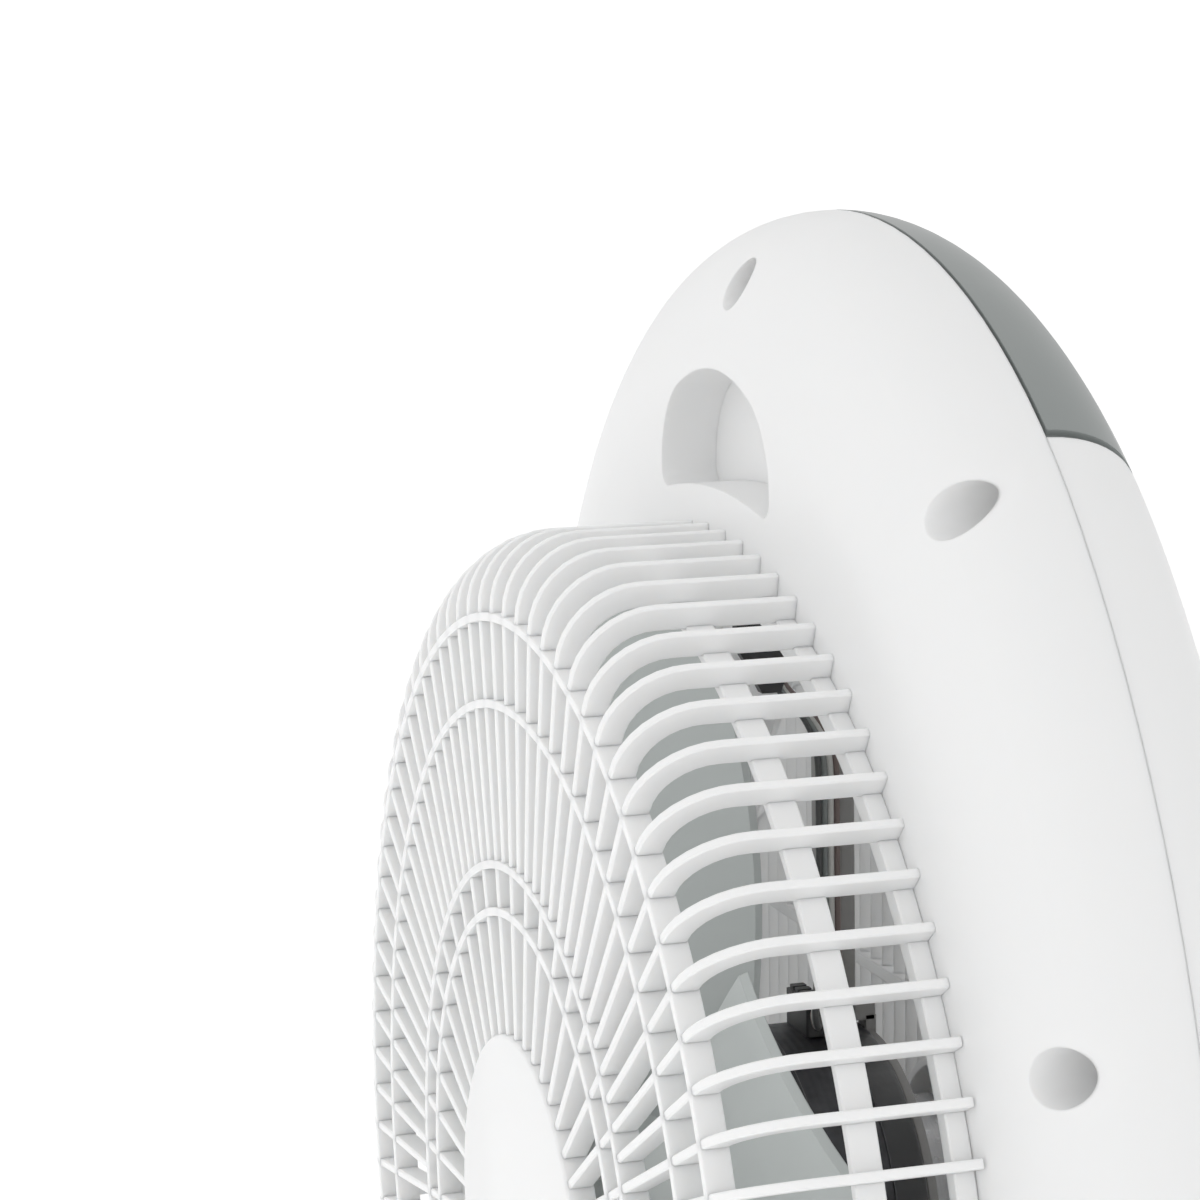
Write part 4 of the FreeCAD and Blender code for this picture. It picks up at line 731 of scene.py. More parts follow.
# %% [markdown]
# ## The rear grille
#
# This is the piece that makes the fan: a deep drum of eighty-eight fins. Each fin starts a hair
# behind the rear face, runs along the side of the drum, bends round its corner and goes in towards
# the centre. Every second one stops at the third hoop, because the fins would close up further in.
#
# A fin is a section of eight points, which is a rectangle with its edges broken, carried along
# the bend. The bend turns about one centre, so the inside of the fin is an arc as true as the
# outside.

# %% Fins of the rear grille
REAR_FACE = 20 * MM
GRILLE_BACK = 69.2 * MM
DRUM_RADIUS = 165 * MM
FIN_CORNER = 18 * MM
FIN_DEPTH = 5.6 * MM
FIN_WIDTH = 2.0 * MM
FIN_EDGE = 0.35 * MM
FIN_GAP = 0.02 * MM
BEND_STEPS = 8


def fin_path(inner):
    """Stations of the outer edge as (y, radius), each with the direction to the inner edge."""
    path = [((REAR_FACE + FIN_GAP, DRUM_RADIUS), (0.0, -1.0))]
    bend = (GRILLE_BACK - FIN_CORNER, DRUM_RADIUS - FIN_CORNER)
    for step in range(BEND_STEPS + 1):
        turn = math.radians(step * 90 / BEND_STEPS)
        out = (math.sin(turn), math.cos(turn))
        place = (bend[0] + FIN_CORNER * out[0], bend[1] + FIN_CORNER * out[1])
        path.append((place, (-out[0], -out[1])))
    path.append(((GRILLE_BACK, inner), (-1.0, 0.0)))
    return path


def fin(bench, angle, inner):
    """One bent fin, from the rear face to its inner end at a given radius."""
    half, e = FIN_WIDTH / 2, FIN_EDGE
    outline = [(0, -half + e), (0, half - e), (e, half), (FIN_DEPTH - e, half)]
    outline += [(FIN_DEPTH, half - e), (FIN_DEPTH, -half + e), (FIN_DEPTH - e, -half), (e, -half)]
    turn = Matrix.Rotation(math.radians(angle), 3, "Y")
    sections = []
    for (y, radius), (towards_y, towards_axis) in fin_path(inner):
        sections.append(
            [
                turn @ Vector((side, y + deep * towards_y, radius + deep * towards_axis)) + AXIS
                for deep, side in outline
            ]
        )
    swept(bench, sections)


print("sections of a fin:", len(fin_path(0.0)))

# %% [markdown]
# One moulding holds all the fins: four hoops on the back, a band round the side, a ring at the foot
# and a smooth disc at the centre. The hoops stand a hair above the fins, because two faces in one
# plane fight over which is seen. The disc is a shallow cup with a rounded rim. Fins and rings run
# through each other, as they may in a mesh that is only looked at.

# %% Rear grille
FIN_PAIRS = 44
FIRST_FIN_ANGLE = 1.46
PAIR_ANGLE = 360 / FIN_PAIRS
RING_STEPS = 176
HOOPS = [145.5 * MM, 125.4 * MM, 88.1 * MM, 77.1 * MM]
HOOP_BACK = GRILLE_BACK + 0.3 * MM
HOOP_DEPTH = 6 * MM
SIDE_RADIUS = 160.2 * MM
BAND_FRONT, BAND_BACK, BAND_WALL = 38.4 * MM, 44.6 * MM, 2.4 * MM
FOOT_BACK, FOOT_INSIDE = 24.4 * MM, 156.5 * MM
DISC_RADIUS = 48.7 * MM
DISC_BACK = GRILLE_BACK + 0.8 * MM
DISC_WALL, DISC_DEPTH, DISC_ROUND = 2.5 * MM, 6.5 * MM, 0.8 * MM
FIN_INNER_END = DISC_RADIUS - 1.2 * MM

bench = bmesh.new()
for pair in range(FIN_PAIRS):
    fin(bench, FIRST_FIN_ANGLE + pair * PAIR_ANGLE, FIN_INNER_END)
    fin(bench, FIRST_FIN_ANGLE + (pair + 0.5) * PAIR_ANGLE, HOOPS[2])
for radius in HOOPS:
    hoop = tube(HOOP_BACK - HOOP_DEPTH, HOOP_BACK, radius - MM, radius + MM, 0.2 * MM)
    turned(bench, hoop, RING_STEPS)
band = tube(BAND_FRONT, BAND_BACK, SIDE_RADIUS - BAND_WALL, SIDE_RADIUS, FIN_EDGE)
turned(bench, band, RING_STEPS)
foot_ring = tube(REAR_FACE, FOOT_BACK, FOOT_INSIDE, SIDE_RADIUS, FIN_EDGE)
turned(bench, foot_ring, RING_STEPS)
turned(
    bench,
    [
        (DISC_BACK - DISC_WALL, 0.0),
        (DISC_BACK, 0.0),
        (DISC_BACK, DISC_RADIUS - DISC_ROUND),
        (DISC_BACK - 0.25 * MM, DISC_RADIUS - 0.3 * MM),
        (DISC_BACK - DISC_ROUND, DISC_RADIUS),
        (DISC_BACK - DISC_DEPTH, DISC_RADIUS),
        (DISC_BACK - DISC_DEPTH, DISC_RADIUS - DISC_WALL),
        (DISC_BACK - DISC_WALL, DISC_RADIUS - DISC_WALL),
    ],
    128,
)
drum_grille = finished("drum_grille", bench, PLASTICS["white_grille"], "housing")
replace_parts(drum_grille, "rear_grille")

# %% [markdown]
# ## The motor and its bracket
#
# Between the fins one looks straight at the motor: two pressed end bells with a laminated core
# between them, on a bracket that reaches the duct. The vents in the bells are cut through with a
# boolean, as a press would punch them. The boolean is put on as a modifier, its result is taken as
# a plain mesh, and the punch is thrown away.

# %% Cutting one mesh out of another
CUT_WITH = "EXACT"


def cut(piece, cutter):
    """Take one closed mesh out of another, and keep the result as plain faces."""
    modifier = piece.modifiers.new("cut", "BOOLEAN")
    modifier.object = cutter
    modifier.solver = CUT_WITH
    graph = bpy.context.evaluated_depsgraph_get()
    mesh = bpy.data.meshes.new_from_object(piece.evaluated_get(graph))
    piece.modifiers.clear()
    piece.data = mesh
    bpy.data.objects.remove(cutter)


print("booleans are", CUT_WITH.lower())

# %% [markdown]
# A bell is a cup of sheet steel with a seat for the bush in its middle. Its profile runs from the
# seat out to the rim and back along the inside. The two bells are one profile, mirrored, so one
# function makes both. Eight narrow bars, spread round the axis, are the punch.

# %% End bells
MOTOR_FRONT, MOTOR_BACK = -15.5 * MM, 17 * MM
MOTOR_RADIUS = 45 * MM
BELL_DEPTH = 8.5 * MM
BELL_WALL = 1.6 * MM
BELL_CORNER = 2 * MM
BUSH_RADIUS = 7.5 * MM
BUSH_LENGTH = 6.5 * MM
VENTS = 8
VENT_HALF = 2.5 * MM
VENT_INNER, VENT_OUTER = 14 * MM, 30 * MM


def bell(name, closed, way):
    """A cup that is closed at one end of the motor. way is 1 at the front and -1 at the back."""
    depth, bush = BELL_DEPTH * way, BUSH_LENGTH * way
    corner, wall = BELL_CORNER * way, BELL_WALL * way
    bench = bmesh.new()
    turned(
        bench,
        [
            (closed, BUSH_RADIUS),
            (closed, MOTOR_RADIUS - BELL_CORNER),
            (closed + corner * 0.3, MOTOR_RADIUS - BELL_CORNER * 0.3),
            (closed + corner, MOTOR_RADIUS),
            (closed + depth, MOTOR_RADIUS),
            (closed + depth, MOTOR_RADIUS - BELL_WALL),
            (closed + corner, MOTOR_RADIUS - BELL_WALL),
            (closed + wall, MOTOR_RADIUS - BELL_CORNER - BELL_WALL / 2),
            (closed + wall, BUSH_RADIUS + BELL_WALL),
            (closed + bush, BUSH_RADIUS + BELL_WALL),
            (closed + bush, BUSH_RADIUS),
        ],
    )
    piece = finished(name, bench, METALS["black_enamel"], "housing")
    slots = bmesh.new()
    for vent in range(VENTS):
        low = (-VENT_HALF, closed - 2 * BELL_WALL, VENT_INNER)
        high = (VENT_HALF, closed + 2 * BELL_WALL, VENT_OUTER)
        beam(slots, low, high, 360 / VENTS * (vent + 0.5), MM / 4)
    cut(piece, off_the_bench("vents", slots))
    return piece


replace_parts(bell("end_bell_front", MOTOR_FRONT, 1), "motor_front_bell")
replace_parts(bell("end_bell_back", MOTOR_BACK, -1), "motor_rear_bell")

# %% [markdown]
# The core is a plain ring whose finish draws the sheets it is stacked from. A copper ring lies on
# each of its faces, inside a bell, and a bronze bush sits in the middle of each bell. They follow
# the length of the bells, so that nothing inside sticks out through them.

# %% Core, windings and bushes
CORE_FRONT, CORE_BACK = -7 * MM, 8.5 * MM
CORE_BORE = 19.2 * MM
COIL_INNER, COIL_OUTER, COIL_DEPTH = 24 * MM, 33 * MM, 5.5 * MM
SHAFT_BORE = 4.05 * MM

bench = bmesh.new()
turned(bench, tube(CORE_FRONT, CORE_BACK, CORE_BORE, MOTOR_RADIUS - 0.4 * MM))
core = finished("core_stack", bench, METALS["laminated_core"], "housing")
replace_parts(core, "motor_core")

bench = bmesh.new()
for low in (CORE_FRONT - 5.8 * MM, CORE_BACK + 0.3 * MM):
    turned(bench, tube(low, low + COIL_DEPTH, COIL_INNER, COIL_OUTER, 1.6 * MM))
coils = finished("coil_rings", bench, METALS["copper_wire"], "housing")
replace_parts(coils, "motor_windings")

bench = bmesh.new()
for low in (MOTOR_FRONT, MOTOR_BACK - BUSH_LENGTH):
    turned(bench, tube(low, low + BUSH_LENGTH, SHAFT_BORE, BUSH_RADIUS, 0.3 * MM), 48)
bushes = finished("bearing_bushes", bench, METALS["bearing_bronze"], "housing")
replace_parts(bushes, "motor_bushes")

# %% [markdown]
# The bracket is one grey moulding. Its plate is screwed to the front of the motor, and four arms
# leave it at the top, at the bottom and at the sides. Each arm sits a little behind the plate, so a
# neck and a deeper foot lead over to it, and it ends in a wider pad that is screwed to a ledge on
# the wall of the duct. All of these are plain bars, drawn once at the top of the fan and turned to
# their four angles. The small motor that turns the front grille sits on the plate's front.

# %% Bracket
PLATE_FRONT = -18 * MM
PLATE_BORE, PLATE_RADIUS = 9 * MM, 43 * MM
NECK_START, NECK_END = 40 * MM, 47 * MM
ARM_FRONT, ARM_BACK = -13 * MM, -4 * MM
ARM_HALF = 2.5 * MM
ARM_START, ARM_FOOT_END, ARM_TIP = 46 * MM, 52 * MM, 153.4 * MM
ARM_EDGE = 0.4 * MM
ARM_ANGLES = [0, 90, 180, 270]
PAD_HALF, PAD_START = 5.5 * MM, 144 * MM
LEDGE_HALF, LEDGE_BACK, LEDGE_END = 7.5 * MM, 5 * MM, 155 * MM
SMALL_MOTOR_FRONT, SMALL_MOTOR_RADIUS = -35.5 * MM, 24.5 * MM

bench = bmesh.new()
turned(bench, tube(PLATE_FRONT, MOTOR_FRONT, PLATE_BORE, PLATE_RADIUS, 0.3 * MM))
for angle in ARM_ANGLES:
    low, high = (-ARM_HALF, PLATE_FRONT, NECK_START), (ARM_HALF, MOTOR_FRONT, NECK_END)
    beam(bench, low, high, angle)
    low, high = (-ARM_HALF, PLATE_FRONT, ARM_START), (ARM_HALF, ARM_BACK, ARM_FOOT_END)
    beam(bench, low, high, angle, ARM_EDGE)
    low, high = (-ARM_HALF, ARM_FRONT, ARM_START), (ARM_HALF, ARM_BACK, ARM_TIP)
    beam(bench, low, high, angle, ARM_EDGE)
    low, high = (-PAD_HALF, ARM_FRONT, PAD_START), (PAD_HALF, ARM_BACK, ARM_TIP)
    beam(bench, low, high, angle, ARM_EDGE)
bracket = finished("four_arm_bracket", bench, PLASTICS["bracket_grey"], "housing")
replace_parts(bracket, "motor_bracket")

bench = bmesh.new()
for angle in ARM_ANGLES:
    low, high = (-LEDGE_HALF, ARM_BACK, PAD_START), (LEDGE_HALF, LEDGE_BACK, LEDGE_END)
    beam(bench, low, high, angle, 0.5 * MM)
finished("duct_ledges", bench, PLASTICS["white_shell"], "housing")

bench = bmesh.new()
turned(bench, tube(SMALL_MOTOR_FRONT, PLATE_FRONT, 3.2 * MM, SMALL_MOTOR_RADIUS, 1.0 * MM), 64)
small_motor = finished("small_motor", bench, FINISHES["bare_steel"], "housing")
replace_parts(small_motor, "louvre_motor")

# %% [markdown]
# ### Terminal block
#
# The wires of the motor end in a small black block on top of the core, with a row of four clamps.
# Where the leads reach the wall of the duct, a black sleeve takes them in. It narrows towards the
# leads, so it is a sweep through four sections, and the last two are less deep than the others.

# %% Terminal block and sleeve
BLOCK_FRONT, BLOCK_BACK = -3.7 * MM, 1.0 * MM
CLAMP_WIDTH = 2.5 * MM
CLAMPS_LEFT = [(-6.2 + 3.3 * clamp) * MM for clamp in range(4)]
SLEEVE_LEFT, SLEEVE_RIGHT = -9.5 * MM, -6.5 * MM
SLEEVE_SECTIONS = [
    (153.9 * MM, 3 * MM, 18 * MM),
    (138 * MM, 3 * MM, 18 * MM),
    (131 * MM, 6 * MM, 14 * MM),
    (127 * MM, 7.5 * MM, 12 * MM),
]

bench = bmesh.new()
beam(bench, (-7 * MM, BLOCK_FRONT, 44.4 * MM), (7 * MM, BLOCK_BACK, 53 * MM), 0, 0.4 * MM)
for left in CLAMPS_LEFT:
    low, high = (left, BLOCK_FRONT + 0.6 * MM, 52.5 * MM), (left + CLAMP_WIDTH, 0.4 * MM, 54 * MM)
    beam(bench, low, high, 0, 0.3 * MM)
sleeve = []
for radius, low, high in SLEEVE_SECTIONS:
    corners = [(SLEEVE_LEFT, low), (SLEEVE_RIGHT, low), (SLEEVE_RIGHT, high), (SLEEVE_LEFT, high)]
    sleeve.append([Vector((x, y, AXIS_HEIGHT + radius)) for x, y in corners])
swept(bench, sleeve)
finished("terminal_block", bench, PLASTICS["dark_plastic"], "housing")

# %% [markdown]
# ### Leads
#
# Four leads leave the block, make a loose loop beside it, and run flat along the top arm. Near its
# end they swing back into the sleeve. A lead is a curve with a round bevel. A NURBS curve is used
# because it passes smoothly by its points, as stiff wire does, and never has a corner. Each lead
# lies a little further back and swings a little wider than the one before.

# %% Leads
LEAD_WIDTH = 1.5 * MM
LEADS = {
    "brown": ((0.20, 0.15, 0.14), (0.16, 0.12, 0.11)),
    "white": ((0.66, 0.66, 0.63), (0.60, 0.59, 0.56)),
    "grey": ((0.24, 0.26, 0.255), (0.19, 0.205, 0.20)),
    "black": ((0.07, 0.072, 0.07), (0.09, 0.092, 0.09)),
}


def lead_route(number):
    """Points of a lead as (x, y, distance from the axis), from the block to the sleeve."""
    y = (-8.2 + number * 1.5) * MM
    swing = (1 + 0.5 * number) * MM
    in_sleeve = y * 0.5 + 12.5 * MM
    return [
        (-6.0 * MM, -1.4 * MM, 50.5 * MM),
        (-9.5 * MM, -1.4 * MM, 50.5 * MM),
        (-12.0 * MM - swing, 1.0 * MM, 47.5 * MM),
        (-13.0 * MM - swing, 2.5 * MM, 53.0 * MM + swing),
        (-8.0 * MM, y, 57.0 * MM + swing),
        (-3.6 * MM, y, 62.0 * MM),
        (-3.3 * MM, y, 76.0 * MM),
        (-3.3 * MM, y, 98.0 * MM),
        (-3.4 * MM, y, 112.0 * MM),
        (-5.5 * MM, y * 0.6 + 3.0 * MM, 121.0 * MM),
        (-8.0 * MM, in_sleeve, 130.0 * MM),
        (-8.0 * MM, in_sleeve, 138.0 * MM),
    ]


for number, (name, tones) in enumerate(LEADS.items()):
    route = lead_route(number)
    curve = bpy.data.curves.new("lead_" + name, "CURVE")
    curve.dimensions = "3D"
    curve.bevel_depth = LEAD_WIDTH / 2
    curve.bevel_resolution = 3
    curve.resolution_u = 6
    spline = curve.splines.new("NURBS")
    spline.points.add(len(route) - 1)
    for point, (x, deep, radius) in zip(spline.points, route):
        point.co = (x, deep, AXIS_HEIGHT + radius, 1)
    spline.order_u = 3
    spline.use_endpoint_u = True
    lead = bpy.data.objects.new("lead_" + name, curve)
    curve.materials.append(plastic("lead_" + name, *tones, 0.42, dust=0.1))
    scene.collection.objects.link(lead)
    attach(lead, "housing")
print("leads:", len(LEADS))

# %% [markdown]
# ## Small changes to the shells
#
# The shells of the frame are right but for a few tenths and a few millimetres: the joint between
# them is tighter on the real fan, the collar inside the grille is lower and the hand pocket is
# deeper. None of that needs a new mesh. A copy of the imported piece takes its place, and short rules
# lay the points that belong to each form at their new depth. A rule picks its points by the depth
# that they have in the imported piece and, where that isn't enough, by where they lie.

# %% Shells with moved points
SEAM = -12 * MM
SEAM_HALF = 0.03 * MM
COLLAR_BACK = 23.4 * MM
POCKET_FLOOR, POCKET_FLOOR_INSIDE = 6.4 * MM, 3.9 * MM
PACKED_COLLAR = (25 * MM, 27 * MM)
PACKED_REAR_EDGE = (-11.83 * MM, -11.77 * MM)
PACKED_FRONT_EDGE = (-12.23 * MM, -12.17 * MM)
PACKED_FLOOR = (8.95 * MM, 9.05 * MM)
PACKED_FLOOR_INSIDE = (6.45 * MM, 6.55 * MM)


def reshaped(name, node, rules):
    """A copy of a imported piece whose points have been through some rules, in its place."""
    mesh = NODES[node].data.copy()
    mesh.name = name
    for rule in rules:
        rule(mesh.vertices)
    mesh.update()
    piece = bpy.data.objects.new(name, mesh)
    scene.collection.objects.link(piece)
    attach(piece, "housing")
    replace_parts(piece, node)
    print(name, "-", len(mesh.polygons), "faces")


def lay_flat(depths, y, where=lambda x, radius, z: True):
    """A rule that brings all points between two packed depths to one depth."""
    low, high = depths

    def rule(points):
        for point in points:
            x, deep, z = point.co
            if low < deep < high and where(x, math.hypot(x, z - AXIS_HEIGHT), z):
                point.co.y = y

    return rule


def in_pocket(x, radius, z):
    """Whether a point lies in the part of the rear shell that holds the hand pocket."""
    return abs(x) < 41 * MM and 372 * MM < z < 412 * MM


def in_collar(x, radius, z):
    """Whether a point lies close round the duct, where the collar stands."""
    return radius < 157 * MM


rear_rules = [
    lay_flat(PACKED_COLLAR, COLLAR_BACK, in_collar),
    lay_flat(PACKED_REAR_EDGE, SEAM + SEAM_HALF),
    lay_flat(PACKED_FLOOR, POCKET_FLOOR, in_pocket),
    lay_flat(PACKED_FLOOR_INSIDE, POCKET_FLOOR_INSIDE, in_pocket),
]
reshaped("back_shell", "rear_housing", rear_rules)
front_rules = [lay_flat(PACKED_FRONT_EDGE, SEAM - SEAM_HALF)]
reshaped("front_shell", "front_housing", front_rules)

# %% [markdown]
# ## The turning grille at the front
#
# Upright slats between a rim and a hub turn slowly and sweep the air round. Their fronts lean
# towards the middle, and two flat ties behind them keep them from rattling. The rim is a tube, and
# the hub is a cup with a short boss inside.

# %% Rim, hub and ties of the front grille
LOUVRE_FRONT, LOUVRE_BACK = -46 * MM, -37 * MM
RIM_OUTSIDE, RIM_WALL = 151.4 * MM, 2.6 * MM
HUB_RADIUS, HUB_WALL, HUB_EDGE = 33 * MM, 2 * MM, 0.4 * MM
BOSS_BACK, BOSS_BORE, BOSS_RADIUS = -35.9 * MM, 3.05 * MM, 7 * MM
TIE_HALF, TIE_SIZE = 143.5 * MM, 3 * MM
TIE_HEIGHTS = (-45.5 * MM, 42.5 * MM)

bench = bmesh.new()
rim = tube(LOUVRE_FRONT, LOUVRE_BACK, RIM_OUTSIDE - RIM_WALL, RIM_OUTSIDE, 0.4 * MM)
turned(bench, rim, RING_STEPS)
turned(
    bench,
    [
        (LOUVRE_FRONT, 0.0),
        (LOUVRE_FRONT, HUB_RADIUS - HUB_EDGE),
        (LOUVRE_FRONT + HUB_EDGE, HUB_RADIUS),
        (LOUVRE_BACK, HUB_RADIUS),
        (LOUVRE_BACK, HUB_RADIUS - HUB_WALL),
        (LOUVRE_FRONT + HUB_WALL, HUB_RADIUS - HUB_WALL),
        (LOUVRE_FRONT + HUB_WALL, 0.0),
    ],
)
turned(bench, tube(LOUVRE_FRONT + MM, BOSS_BACK, BOSS_BORE, BOSS_RADIUS, 0.2 * MM), 48)
for height in TIE_HEIGHTS:
    tie_low = (-TIE_HALF, LOUVRE_BACK - TIE_SIZE, height)
    tie_high = (TIE_HALF, LOUVRE_BACK, height + TIE_SIZE)
    beam(bench, tie_low, tie_high, 0, 0.3 * MM)
print("grille between", round(LOUVRE_FRONT / MM), "and", round(LOUVRE_BACK / MM), "mm")

# %% [markdown]
# Each slat is a bar with four long edges. A slanted bar cut off straight would stick out through
# the round rim on one edge and fall short of it on another, so each edge ends on the rim by itself:
# its height is the side of a right triangle whose long side is the rim's radius. The slats in the
# middle meet the hub in the same way, so there they are two bars, one above it and one below.

# %% Slats of the front grille
SLATS_PER_SIDE = 19
SLAT_PITCH, SLAT_WIDTH, SLAT_THICK = 7.6 * MM, 7.8 * MM, 1.5 * MM
SLAT_LEAN = math.radians(30)
SLAT_MIDDLE = (LOUVRE_FRONT + LOUVRE_BACK) / 2


def slat_corners(x, side):
    """The four long edges of a slat as (x, y). side is 1 or -1, for the half that it stands in."""
    lean = Matrix.Rotation(-side * SLAT_LEAN, 2)
    corners = []
    for across, along in ((-1, -1), (1, -1), (1, 1), (-1, 1)):
        offset = lean @ Vector((across * SLAT_THICK / 2, along * SLAT_WIDTH / 2))
        corners.append((x + offset.x, SLAT_MIDDLE + offset.y))
    return corners


def ends_on(corners, radius):
    """The point of each edge, above the axis, that lies at a distance from it."""
    return [Vector((x, y, math.sqrt(max(radius**2 - x * x, 0)))) for x, y in corners]


def mirrored(ring):
    """A ring of points from above the axis, put below it."""
    return [Vector((point.x, point.y, -point.z)) for point in ring]


for number in range(SLATS_PER_SIDE):
    for side in (-1, 1):
        corners = slat_corners(side * (number + 0.5) * SLAT_PITCH, side)
        tops = ends_on(corners, RIM_OUTSIDE - RIM_WALL / 2)
        inner = HUB_RADIUS - HUB_WALL / 2
        if max(abs(x) for x, y in corners) < inner:
            feet = ends_on(corners, inner)
            bars = [(feet, tops), (mirrored(feet), mirrored(tops))]
        else:
            bars = [(mirrored(tops), tops)]
        for low, high in bars:
            swept(bench, [[point + AXIS for point in ring] for ring in (low, high)])
turning_grille = finished(
    "turning_grille", bench, PLASTICS["white_shell"], "front_louvre"
)
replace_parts(turning_grille, "louvre_grille")

# %% [markdown]
# ## Knobs
#
# A knob is a low tapered cup with a bar across its face for the fingers. The bar is narrow and its
# long edges are broken. The spindle behind it is a plain pin with a small lead at its end. Both
# knobs are one shape, so a function finds the axis of each in the frame and a loop makes the pair.

# %% Knobs
KNOB_BACK, KNOB_FRONT = -42.6 * MM, -52.6 * MM
KNOB_RADIUS, KNOB_TOP, KNOB_WALL = 15 * MM, 12.6 * MM, 1.6 * MM
GRIP_HALF, GRIP_FACE = 2.2 * MM, -54.4 * MM
GRIP_REACH = KNOB_TOP - 0.9 * MM
KNOB_BORE, KNOB_SLEEVE = 3.05 * MM, 4.6 * MM
SPINDLE_RADIUS = 3 * MM
SPINDLE_FRONT, SPINDLE_BACK = -50.7 * MM, -29.5 * MM
SPINDLE_LEAD = 0.5 * MM


def knob_axis(knob):
    """Where the axis of a knob passes through the panel, as (x, z)."""
    low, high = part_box(knob)
    return (low[0] + high[0]) / 2, (low[2] + high[2]) / 2


def knob_form(bench, x, z):
    """The cup of a knob, the sleeve inside it and the grip across its face."""
    cup = [
        (KNOB_BACK, KNOB_RADIUS),
        (KNOB_FRONT + 1.0 * MM, KNOB_TOP),
        (KNOB_FRONT + 0.3 * MM, KNOB_TOP - 0.3 * MM),
        (KNOB_FRONT, KNOB_TOP - 1.0 * MM),
        (KNOB_FRONT, 0.0),
        (KNOB_FRONT + KNOB_WALL, 0.0),
        (KNOB_FRONT + KNOB_WALL, KNOB_TOP - KNOB_WALL),
        (KNOB_BACK, KNOB_RADIUS - KNOB_WALL),
    ]
    turned(bench, cup, 72, (x, z))
    turned(bench, tube(KNOB_FRONT + 1 * MM, KNOB_BACK, KNOB_BORE, KNOB_SLEEVE), 32, (x, z))
    grip_low = (x - GRIP_HALF, GRIP_FACE, z - GRIP_REACH - AXIS_HEIGHT)
    grip_high = (x + GRIP_HALF, KNOB_FRONT + 0.8 * MM, z + GRIP_REACH - AXIS_HEIGHT)
    beam(bench, grip_low, grip_high, 0, 0.5 * MM)


for dial in ("speed", "timer"):
    knob, spindle, body = dial + "_knob", dial + "_spindle", dial + "_dial"
    x, z = knob_axis(knob)
    bench = bmesh.new()
    knob_form(bench, x, z)
    piece = finished("handle_" + dial, bench, PLASTICS["white_shell"], body)
    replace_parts(piece, knob)
    bench = bmesh.new()
    pin = [
        (SPINDLE_FRONT, 0.0),
        (SPINDLE_FRONT, SPINDLE_RADIUS - SPINDLE_LEAD),
        (SPINDLE_FRONT + SPINDLE_LEAD, SPINDLE_RADIUS),
        (SPINDLE_BACK, SPINDLE_RADIUS),
        (SPINDLE_BACK, 0.0),
    ]
    turned(bench, pin, 48, (x, z))
    slot = next(s for s in frame["record"]["subparts"] if s["node"] == spindle)["material_slot"]
    piece = finished("pin_" + dial, bench, FINISHES[slot], body)
    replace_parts(piece, spindle)

# %% [markdown]
# ## Screws
#
# The screws of the frame are plain. A real one has a domed head with a cross recess, and the eye
# knows it even at the bottom of a well. One head is turned from a dome, which is given as shares of
# the head's height and radius, and two tapered wings are cut out of it.

# %% Screw heads
HEAD_RADIUS = 3.4 * MM
HEAD_RISE = 2.4 * MM
DOME = [(0.0, 1.0), (0.36, 1.0), (0.62, 0.93), (0.84, 0.76), (0.96, 0.48), (1.0, 0.2), (1.0, 0.0)]
CROSS_HALF = 0.4 * MM
CROSS_MOUTH = (HEAD_RISE * 1.05, 1.95 * MM)
CROSS_FLOOR = (HEAD_RISE * 0.35, 0.7 * MM)
ABOUT_ORIGIN = (0.0, 0.0)

bench = bmesh.new()
turned(bench, [(0.0, 0.0)] + [(y * HEAD_RISE, r * HEAD_RADIUS) for y, r in DOME], 48, ABOUT_ORIGIN)
head = off_the_bench("screw_head", bench)
for quarter in (0, 1):
    wing = bmesh.new()
    sections = []
    for y, half in (CROSS_MOUTH, CROSS_FLOOR):
        thin = CROSS_HALF
        corners = [(-half, -thin), (half, -thin), (half, thin), (-half, thin)]
        sections.append([Vector((b, y, a) if quarter else (a, y, b)) for a, b in corners])
    swept(wing, sections)
    cut(head, off_the_bench("wing", wing))
head_mesh = head.data
bpy.data.objects.remove(head)
print("one head:", len(head_mesh.polygons), "faces")

# %% [markdown]
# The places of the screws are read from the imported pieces. Each of those pieces holds several
# loose screws in one mesh. Walking from point to point along the edges never crosses from one screw
# to the next, so each walk collects one screw, and its lowest and highest corner tell where it is.

# %% Finding the screws of the frame
def loose_boxes(node):
    """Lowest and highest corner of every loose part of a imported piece."""
    bench = bmesh.new()
    bench.from_mesh(NODES[node].data)
    bmesh.ops.remove_doubles(bench, verts=bench.verts, dist=1e-6)
    unseen = set(bench.verts)
    boxes = []
    while unseen:
        to_visit, found = [unseen.pop()], []
        while to_visit:
            vertex = to_visit.pop()
            found.append(vertex.co.copy())
            for near in vertex.link_edges:
                other = near.other_vert(vertex)
                if other in unseen:
                    unseen.remove(other)
                    to_visit.append(other)
        low = Vector([min(point[i] for point in found) for i in range(3)])
        high = Vector([max(point[i] for point in found) for i in range(3)])
        boxes.append((low, high))
    bench.free()
    return sorted(boxes, key=lambda box: tuple(round(v, 5) for v in box[0]))


def middles(node, axis, offset):
    """The middle of each loose screw, with one coordinate set to where its head sits."""
    seats = []
    for low, high in loose_boxes(node):
        seat = (low + high) / 2
        seat[axis] = offset(low, high)
        seats.append(seat)
    return seats


print("screws of the housing:", len(loose_boxes("housing_screws")))

# %% [markdown]
# A copy of the head and a plain shank with a pointed tip go to each of those places. No two screws
# of a set are left at the same angle, because nobody stops a screwdriver at a round number. The
# screws of the bracket don't need the search: they sit on the pads of its arms.

